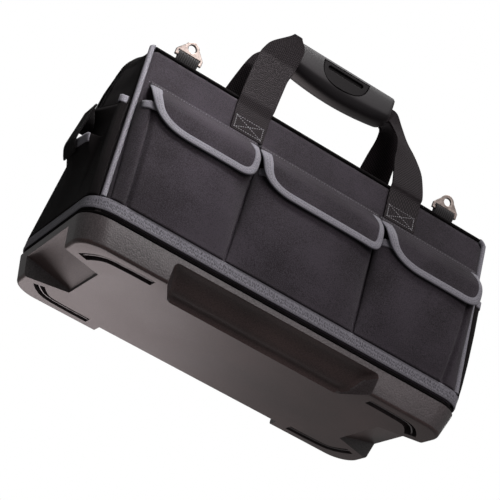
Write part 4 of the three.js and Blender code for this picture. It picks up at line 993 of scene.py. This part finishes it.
def binding_place(flap):
    outline = flap_outline(flap, BINDING_ROWS)
    cache = {}

    def place(u, v):
        turn = 2 * math.pi * u
        c, s = math.cos(turn), math.sin(turn)
        inset = FLAP_BINDING / 2 * (1 - math.copysign(abs(c) ** 0.55, c))
        out = 1.4 + 1.75 * math.copysign(abs(s) ** 0.55, s)
        key = round(inset, 4)
        if key not in cache:
            cache[key] = inset_along(outline, inset)
        spot = cache[key][round(v * BINDING_ROWS)]
        return flap_point(flap, spot.x, spot.z, out)

    return place


seams = bmesh.new()
for name, flap in FLAPS.items():
    bm = laid_grid(84, 50, flap_place(flap), lambda p: Vector((0, -1, 0)))
    add_piece(f"flap_cloth_{name}", bm, charcoal_polyester, [f"flap_{name}"], wall=POCKET_CLOTH - 0.2)
    bm = closed_sweep(20, BINDING_ROWS, binding_place(flap))
    add_piece(f"flap_edge_{name}", bm, binding_tape, [f"flap_binding_{name}"], crease=70)
    path = inset_along(flap_outline(flap), FLAP_BINDING * 0.72)
    sew(seams, [flap_point(flap, p.x, p.z, 3.05) for p in path], lambda p: Vector((0, -1, 0)), 3.6, 2.4, 0.7)
    path = [flap_point(flap, mix(flap["left"] - 2, flap["right"] - 3, i / 60), FLAP_SEAM - 3.2, POCKET_CLOTH) for i in range(61)]
    sew(seams, path, lambda p: Vector((0, -1, 0.2)), 3.4, 2.4, 0.6)
add_piece("flap_stitches", seams, grey_thread)

# %% [markdown]
# ## End pockets
#
# Each end has a pocket with a boxed middle, pushed out, and a pleat beside each seam that stands up higher.
# It is one grid, whose columns each end at their own height. Grey tape finishes the box's mouth and caps
# the pleats.

# %% End pockets
END_COLUMNS = [
    (-0.975, 0, 0, 1), (-0.955, 1, 0, 1), (-0.88, 1, 0, 1), (-0.82, 0.15, 0, 0.95), (-0.62, 0, 0.08, 0.2),
    (-0.55, 0, 0.12, 0), (-0.5, 0, 0.9, 0), (-0.44, 0, 1, 0), (-0.2, 0, 1.03, 0), (0, 0, 1.03, 0),
    (0.2, 0, 1, 0), (0.27, 0, 0.9, 0), (0.32, 0, 0.12, 0), (0.55, 0, 0.05, 0.1), (0.82, 0.15, 0, 0.95),
    (0.88, 1, 0, 1), (0.955, 1, 0, 1), (0.975, 0, 0, 1),
]
PLEAT = [(v, pleat) for v, pleat, box, mouth in END_COLUMNS]
BOX = [(v, box) for v, pleat, box, mouth in END_COLUMNS]
MOUTH = [(v, mouth) for v, pleat, box, mouth in END_COLUMNS]
BOX_BULGE = [(0, 0.02), (0.35, 0.14), (0.62, 0.3), (0.76, 0.5), (0.88, 0.86), (1, 1)]
PLEAT_BULGE = [(0, 0.02), (0.12, 0.3), (0.35, 0.62), (0.65, 0.88), (1, 1)]


def end_pocket_point(side, v, w, out):
    z = mix(POCKET_FOOT, mix(END_POCKET_MOUTH, PLEAT_TOP, eased(MOUTH, v, 0.02)), w)
    proud = 7.5 if v < 0 else 1.5
    stand = END_POCKET_DEPTH * eased(BOX, v, 0.015) * eased(BOX_BULGE, w, 0.06)
    stand += proud * eased(PLEAT, v, 0.012) * eased(PLEAT_BULGE, w)
    return Vector((side * (end_reach(v, z) + GAP + POCKET_CLOTH + stand + out), v * seam_y(z), z))


def end_strip(side, v0, v1, high, out):
    """A tape on the mouth between two places across the end."""
    def place(u, v):
        share = mix(v0, v1, u)
        mouth = mix(END_POCKET_MOUTH, PLEAT_TOP, eased(MOUTH, share, 0.02))
        w = 1 - (1 - v) * high / (mouth - POCKET_FOOT)
        return end_pocket_point(side, share, w, out) + Vector((0, 0, GAP * v))

    return place


for label, side in (("left", -1), ("right", 1)):
    facing = lambda p, s=side: Vector((s, 0, 0))
    bm = laid_grid(150, 44, lambda u, v, s=side: end_pocket_point(s, mix(-0.975, 0.975, u), v, 0), facing)
    add_piece(f"end_bellows_{label}", bm, black_polyester, [f"end_pocket_{label}"], wall=POCKET_CLOTH)
    bm = laid_grid(60, 5, end_strip(side, -0.5, 0.27, 10, GAP + TAPE), facing)
    add_piece(f"end_mouth_{label}", bm, binding_tape, [f"end_tape_{label}"], wall=TAPE)
    for face, side_y in (("front", FRONT), ("back", BACK)):
        bm = laid_grid(8, 5, end_strip(side, side_y * 0.86, side_y * 0.972, 9, GAP + TAPE), facing)
        add_piece(f"pleat_tape_{face}_{label}", bm, binding_tape, [f"pleat_cap_{face}_{label}"], wall=TAPE)

# %% [markdown]
# ## Zip tabs
#
# Where the zip ends, a stiff tab bridges down to the end pocket and is sewn to it. It stands a little off
# the end, so it is a strip through its own few points, thick as two layers of cloth.

# %% Zip tabs
def zip_tab_profile():
    def on_pocket(z):
        w = (z - POCKET_FOOT) / (END_POCKET_MOUTH - POCKET_FOOT)
        return abs(end_pocket_point(1, 0, w, 0).x) + 3 * GAP + TAPE + CLOTH

    ridge = end_reach(0, ZIP_LOW) + CLOTH
    low = 116
    bend = mix(END_POCKET_MOUTH, low, 0.6)
    rows = [(ridge, ZIP_LOW - GAP), (ridge + 2, mix(ZIP_LOW, END_POCKET_MOUTH, 0.4))]
    rows += [(ridge + 4, mix(ZIP_LOW, END_POCKET_MOUTH, 0.75)), (on_pocket(END_POCKET_MOUTH - 1), END_POCKET_MOUTH - 1)]
    rows += [(on_pocket(bend), bend), (on_pocket(low), low)]
    return along([Vector((x, 0, z)) for x, z in rows])


tab_line = zip_tab_profile()
FOLD_LOW, FOLD_HALF = 147, 15


def fold_place(side):
    """The folded end of the zip's tape, a lump between the tab and the end."""
    def place(u, v):
        z = mix(FOLD_LOW, ZIP_LOW - 1, v)
        turn = 2 * math.pi * u
        back, front = end_reach(0, z) + 1, abs(tab_line(clamp((ZIP_LOW - z) / (ZIP_LOW - 116))).x) - CLOTH
        plump = math.sqrt(math.sin(math.pi * mix(0.06, 0.94, v)))
        x = mix(back, front, 0.5 + 0.5 * math.copysign(abs(math.cos(turn)) ** 0.5, math.cos(turn)))
        y = FOLD_HALF * plump * math.copysign(abs(math.sin(turn)) ** 0.4, math.sin(turn))
        return Vector((side * x, y, z))

    return place


tab_stitches = bmesh.new()
for label, side in (("left", -1), ("right", 1)):
    place = lambda u, v, s=side: Vector((s * tab_line(v).x, (2 * u - 1) * 17, tab_line(v).z))
    bm = laid_grid(14, 30, place, lambda p, s=side: Vector((s, 0, 0)))
    add_piece(f"tab_{label}", bm, black_tape, [f"zip_tab_{label}"], wall=CLOTH, round_off=0.5)
    add_piece(f"tab_fold_{label}", closed_sweep(28, 16, fold_place(side)), black_tape, crease=60)
    for u in (0.1, 0.9):
        sew(tab_stitches, row_of(30, lambda t: place(u, mix(0.03, 0.97, t)) + Vector((side * 0.1, 0, 0))), lambda p: Vector((side, 0, 0)))
add_piece("tab_stitches", tab_stitches, dark_thread)

# %% [markdown]
# ## Handles
#
# Two loops of 40 mm webbing are sewn to the front and the back, and meet in one grip. The left legs lie flat
# and fold over into the grip's end. The right legs turn and draw together as they rise. Webbing is modelled
# directly, as a strip through its own edges.

# %% Handle legs
def handle_depth(z):
    under = max(face_depth(0, z), TOP_HALF_Y + HEM_RADIUS + GAP)
    t = clamp((z - HANDLE_FREE) / (GRIP_Z - GRIP_HALF_HEIGHT - HANDLE_FREE))
    return mix(under, GRIP_HALF_DEPTH, t) + GAP + WEBBING_THICK


FOLDED_LEG = [
    (0, -0.5, 0.5), (0.24, -0.5, 0.54), (0.3, -0.5, 0.57), (0.6, -0.34, 0.74), (0.74, -0.24, 0.91),
    (0.84, -0.09, 0.95), (0.92, 0.25, 0.96), (0.985, 0.52, 0.7),
]
LEG_RISE = 166.7
LEFT_EDGE = [(z, left) for z, left, right in FOLDED_LEG]
RIGHT_EDGE = [(z, right) for z, left, right in FOLDED_LEG]


def left_leg_place(side_y):
    def place(u, v):
        rise = v * FOLDED_LEG[-1][0]
        z = HANDLE_FOOT + rise * LEG_RISE
        a, b = eased(LEFT_EDGE, rise, 0.03), eased(RIGHT_EDGE, rise, 0.03)
        return Vector((HANDLE_LEFT + WEBBING_WIDTH * mix(a, b, u), side_y * handle_depth(z), z))

    return place


TONGUE_HALF, TONGUE_SPACING, TONGUE_REACH = 9, 9, 9


def tongue_place(side_y):
    grip_end = GRIP_X - GRIP_LENGTH / 2
    deep = handle_depth(GRIP_Z)
    line = along([
        Vector((grip_end - 12, side_y * (deep - 1), 0)), Vector((grip_end - 11, side_y * mix(deep, TONGUE_SPACING, 0.4), 0)),
        Vector((grip_end - 8, side_y * (TONGUE_SPACING + 1.5), 0)), Vector((grip_end - 2, side_y * (TONGUE_SPACING + 1.1), 0)),
        Vector((grip_end + TONGUE_REACH - 1, side_y * (TONGUE_SPACING + 1.1), 0)),
    ])
    return lambda u, v: line(v) + Vector((0, 0, GRIP_Z + (2 * u - 1) * TONGUE_HALF))


RIGHT_LEGS = {
    "front": [
        (0, 0, 0, 1), (0.02, 0.27, 0, 1), (0.03, 0.345, 0, 1), (0, 0.48, 5, 1), (-0.05, 0.6, 12, 1),
        (-0.15, 0.73, 24, 0.85), (-0.31, 0.84, 34, 0.66), (-0.52, 0.95, 28, 0.54), (-0.72, 1, 14, 0.48),
    ],
    "back": [
        (0, 0, 0, 1), (0, 0.27, 0, 1), (-0.03, 0.345, 0, 1), (-0.12, 0.48, 4, 1), (-0.23, 0.62, 8, 0.96),
        (-0.3, 0.76, 12, 0.85), (-0.4, 0.88, 12, 0.68), (-0.56, 0.96, 8, 0.54), (-0.74, 1, 4, 0.46),
    ],
}
FLAT_ROWS = 3


def right_leg_place(face, side_y):
    grip_end = GRIP_X + GRIP_LENGTH / 2
    centres, wides, normals = [], [], []
    rows = list(RIGHT_LEGS[face])
    for x, rise, twist, width in rows:
        z = HANDLE_FOOT + (GRIP_Z - HANDLE_FOOT) * rise
        free = clamp((z - HANDLE_FREE) / (GRIP_Z - HANDLE_FREE))
        depth = mix(handle_depth(min(z, HANDLE_FREE)), TONGUE_SPACING, min(1, free * 1.08))
        centres.append(Vector((HANDLE_RIGHT + WEBBING_WIDTH * x, side_y * depth, z)))
    for reach in (2, -TONGUE_REACH):
        centres.append(Vector((grip_end + reach, side_y * TONGUE_SPACING, GRIP_Z)))
        rows.append((0, 0, 0, TONGUE_HALF * 2 / WEBBING_WIDTH))
    last = len(rows) - 1
    for i, (x, rise, twist, width) in enumerate(rows):
        ahead = centres[min(i + 1, last)] - centres[max(i - 1, 0)]
        if i < FLAT_ROWS:
            ahead = Vector((0, 0, 1))
        if i == last - 1:
            ahead = Vector((-1, 0, 0))
        ahead = Vector((ahead.x, 0, ahead.z)).normalized()
        outward = Vector((ahead.z, 0, -ahead.x))
        turn = math.radians(twist)
        facing = Vector((0, side_y, 0))
        wides.append((outward * math.cos(turn) - facing * math.sin(turn)) * (WEBBING_WIDTH * width / 2))
        normals.append((facing * math.cos(turn) + outward * math.sin(turn)) * (0 if i < FLAT_ROWS else WEBBING_THICK / 2))
    middle, wide, lift = along(centres), along(wides), along(normals)
    return lambda u, v: middle(v) + wide(v) * (2 * u - 1) + lift(v)


strap_seams = bmesh.new()


def box_stitch(bm, place_at, left, right, low, high):
    """A sewn box with a cross in it."""
    corners = [(left, low), (right, low), (right, high), (left, high), (left, low)]
    for (x0, z0), (x1, z1) in list(zip(corners, corners[1:])) + [((left, low), (right, high)), ((left, high), (right, low))]:
        sew(bm, [place_at(mix(x0, x1, i / 12), mix(z0, z1, i / 12)) for i in range(13)], lambda p: Vector((0, p.y, 0)), 2.9, 2.2, 0.8)


for face, side_y in (("front", FRONT), ("back", BACK)):
    facing = lambda p, y=side_y: Vector((0, y, 0))
    bm = laid_grid(12, 80, left_leg_place(side_y), facing)
    add_piece(f"strap_{face}_left", bm, webbing, [f"handle_{face}_left"], wall=WEBBING_THICK, round_off=0.6)
    bm = laid_grid(6, 24, tongue_place(side_y), lambda p, y=side_y: Vector((-0.6, y, 0)))
    add_piece(f"strap_fold_{face}", bm, webbing, wall=WEBBING_THICK, round_off=0.6)
    bm = laid_grid(12, 110, right_leg_place(face, side_y), facing)
    add_piece(f"strap_{face}_right", bm, webbing, [f"handle_{face}_right"], wall=WEBBING_THICK, round_off=0.6)
    place_at = lambda x, z, y=side_y: Vector((x, y * (handle_depth(z) + 0.15), z))
    box_stitch(strap_seams, place_at, -107, -74, 211, 227)
    box_stitch(strap_seams, place_at, 89.5, 122.5, 211, 227)
add_piece("strap_stitches", strap_seams, pale_thread)

# %% [markdown]
# ## Grip
#
# The grip is one moulding with a crowned top and a narrower belly. It is a section swept along its length. A
# D-shaped well is cut in its face for an insert with a slot.

# %% Grip
GRIP_SECTION = [(0, 1), (0.7, 0.95), (0.93, 0.78), (1, -0.2), (0.86, -0.62), (0.5, -0.93), (0, -1)]
section = along([Vector((y, 0, z)) for y, z in GRIP_SECTION])


def grip_place(u, v):
    t = 2 * v - 1
    half = section(1 - abs(2 * u - 1))
    y = math.copysign(half.x, 0.5 - u) if u not in (0, 1) else 0
    ends = 1 - 0.07 * clamp((abs(t) - 0.94) / 0.06) ** 2
    belly = 1 - 0.38 * t * t if half.z < 0 else 1
    x = math.copysign(abs(t), t) * GRIP_LENGTH / 2
    return Vector((GRIP_X + x, y * GRIP_HALF_DEPTH * ends, GRIP_Z + half.z * GRIP_HALF_HEIGHT * ends * belly))


INSET_HALF, INSET_TOP, INSET_DROP, INSET_WELL = 31, 15.6, 25, 4.5


def inset_outline(margin, count=28):
    """The D-shaped well's outline as (x, z) from the grip's middle, flat side up."""
    half, top = INSET_HALF - margin, INSET_TOP - margin
    low = INSET_TOP - INSET_DROP + margin
    left = [(-half, top), (-half, mix(top, low, 0.8)), (-half * 0.55, low), (-half * 0.1, low)]
    right = [(-half * 0.1, low), (half * 0.6, low), (half, mix(top, low, 0.8)), (half, top)]
    points = []
    for a, b, c, d in (left, right):
        for i in range(count // 2):
            t = i / (count // 2)
            weights = ((1 - t) ** 3, 3 * t * (1 - t) ** 2, 3 * t * t * (1 - t), t**3)
            points.append(tuple(sum(w * p[k] for w, p in zip(weights, (a, b, c, d))) for k in (0, 1)))
    return points + [(half, top)]


def plate_from(outline, near, far):
    """A plate in the grip's face, between two depths in front of its middle."""
    bm = bmesh.new()
    rim = [bm.verts.new(Vector((GRIP_X + x, -near, GRIP_Z + z)) * MM) for x, z in outline]
    face = bm.faces.new(rim)
    out = bmesh.ops.extrude_face_region(bm, geom=[face])
    bmesh.ops.translate(bm, vec=(0, -(far - near) * MM, 0), verts=[v for v in out["geom"] if isinstance(v, bmesh.types.BMVert)])
    bmesh.ops.recalc_face_normals(bm, faces=bm.faces[:])
    return bm


WELL_FLOOR = GRIP_HALF_DEPTH * 0.93 - INSET_WELL
grip_bm = closed_sweep(48, 60, grip_place)
grip_bm = carved(grip_bm, plate_from(inset_outline(0), WELL_FLOOR, GRIP_HALF_DEPTH + 4), "grip")
add_piece("grip_moulding", grip_bm, grip_plastic, ["grip"], crease=32)

SLOT_HALF, SLOT_Z, SLOT_RADIUS = 21, 9, 2.6
slot_outline = [(SLOT_HALF * s + SLOT_RADIUS * math.cos(a), SLOT_Z + SLOT_RADIUS * math.sin(a))
                for s, start in ((1, -90), (-1, 90)) for a in [math.radians(start + 22.5 * k) for k in range(9)]]
insert = plate_from(inset_outline(1.2), WELL_FLOOR, WELL_FLOOR + INSET_WELL + 0.4)
insert = carved(insert, plate_from(slot_outline, WELL_FLOOR + 1.2, WELL_FLOOR + 9), "insert")
add_piece("grip_insert", insert, insert_plastic_painted_darker, ["grip_inset"], crease=32, round_off=0.5)

# %% [markdown]
# ## Rings, their tabs and the zip slider
#
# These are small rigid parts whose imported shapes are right, so each is that shape with its loose triangles
# joined and its edges rounded by a bevel, as die-cast parts and folded ribbon are.

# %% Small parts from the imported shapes
for label in ("left", "right"):
    add_piece(f"strap_ring_{label}", merged_copy(f"ring_{label}"), nickel_plate, [f"ring_{label}"], f"ring_{label}", round_off=0.8)
    add_piece(f"ring_loop_{label}", merged_copy(f"ring_tab_{label}"), ribbon, [f"ring_tab_{label}"], round_off=0.4)
TAB_X = {"left": -174.5, "right": 163}
tab_seams = bmesh.new()
for x in TAB_X.values():
    for low in (62, 34):
        y, z = 4.6 * math.cos(math.radians(low)), 265 - 4.6 * math.sin(math.radians(low))
        for face in (FRONT, BACK):
            row = [Vector((x + 11 * t, -36 + face * y, z)) for t in (-1, 0, 1)]
            sew(tab_seams, row, lambda p: Vector((0, p.y + 36, p.z - 265)), 3.0, 2.2, 0.8)
add_piece("ring_tab_stitches", tab_seams, pale_thread)
add_piece("zip_puller", merged_copy("zip_slider"), nickel_plate, ["zip_slider"], round_off=0.6)

# %% [markdown]
# ## Floor, light and camera
#
# The bag stands on a pale floor. The photograph looks up at it from below, so the floor is seen only from
# above: its back is clear. The world is white to the camera and dim to the bag, which five soft area lights
# shape, as in a studio with a white sweep.

# %% Floor
floor_bm = bmesh.new()
bmesh.ops.create_grid(floor_bm, x_segments=1, y_segments=1, size=3.0, matrix=Matrix.Translation((0, 0, -0.0004)))
floor_mesh = bpy.data.meshes.new("floor")
floor_bm.to_mesh(floor_mesh)
floor_bm.free()
floor = bpy.data.objects.new("floor", floor_mesh)
bpy.context.scene.collection.objects.link(floor)
floor_paint = bpy.data.materials.new("pale_floor")
floor_paint.use_nodes = True
floor_tree = floor_paint.node_tree
floor_shader = floor_tree.nodes["Principled BSDF"]
floor_shader.inputs["Base Color"].default_value = linear("#dcdcdc")
floor_shader.inputs["Roughness"].default_value = 0.8
clear = put(floor_tree, "ShaderNodeBsdfTransparent")
behind = put(floor_tree, "ShaderNodeNewGeometry").outputs["Backfacing"]
one_sided = put(floor_tree, "ShaderNodeMixShader", [(0, behind), (1, floor_shader.outputs[0]), (2, clear.outputs[0])])
floor_tree.links.new(one_sided.outputs[0], floor_tree.nodes["Material Output"].inputs["Surface"])
floor_mesh.materials.append(floor_paint)
floor.visible_diffuse = floor.visible_glossy = floor.visible_transmission = floor.visible_shadow = False

# %% Camera
CAMERA_RIGHT = Vector((0.83289, -0.43594, 0.34095))
CAMERA_UP = Vector((-0.47126, -0.23563, 0.84994))
CAMERA_BACK = -Vector((0.29018, 0.86858, 0.40169))
camera_data = bpy.data.cameras.new("camera")
camera_data.lens, camera_data.sensor_width = 122.61, 36
camera_data.clip_end = 20
camera = bpy.data.objects.new("camera", camera_data)
bpy.context.scene.collection.objects.link(camera)
pose = Matrix((CAMERA_RIGHT, CAMERA_UP, CAMERA_BACK)).transposed().to_4x4()
pose.translation = Vector((-546.36, -1577.84, -605.29)) * MM
camera.matrix_world = pose
bpy.context.scene.camera = camera

# %% Lights
world = bpy.data.worlds.new("studio")
bpy.context.scene.world = world
world.use_nodes = True
backdrop = world.node_tree.nodes["Background"]
ray = put(world.node_tree, "ShaderNodeLightPath").outputs
mirrored = put(world.node_tree, "ShaderNodeMapRange", [("Value", ray["Is Glossy Ray"]), ("To Min", 0.07), ("To Max", 0.2)])
feeds = [("Value", ray["Is Camera Ray"]), ("To Min", mirrored.outputs[0]), ("To Max", 1.0)]
world.node_tree.links.new(put(world.node_tree, "ShaderNodeMapRange", feeds).outputs[0], backdrop.inputs["Strength"])
backdrop.inputs["Color"].default_value = (1, 1, 1, 1)
bpy.context.scene.view_settings.view_transform = "Standard"

MIDDLE = Vector((0, 0, 0.13))


def soft_light(name, spot, size, watts, aim=MIDDLE, spread=180, tint=(1, 1, 1)):
    data = bpy.data.lights.new(name, "AREA")
    data.shape, data.size, data.energy, data.spread = "SQUARE", size, watts, math.radians(spread)
    data.color = tint
    lamp = bpy.data.objects.new(name, data)
    bpy.context.scene.collection.objects.link(lamp)
    lamp.location = spot
    lamp.rotation_mode = "QUATERNION"
    lamp.rotation_quaternion = (Vector(aim) - Vector(spot)).to_track_quat("-Z", "Y")


soft_light("key", (-0.22, -0.45, 1.0), 0.35, 0.7, (-0.3, 0, 0.19), 44)
soft_light("front", (0.15, -2.4, 0.9), 1.2, 16, tint=(1, 0.95, 0.97))
soft_light("under", (0.05, 1.35, -0.62), 0.65, 4.0, tint=(1, 0.87, 0.88))
soft_light("top", (0.5, -0.6, 2.1), 1.2, 20)
soft_light("back", (1.4, 1.7, 1.3), 1.2, 16)
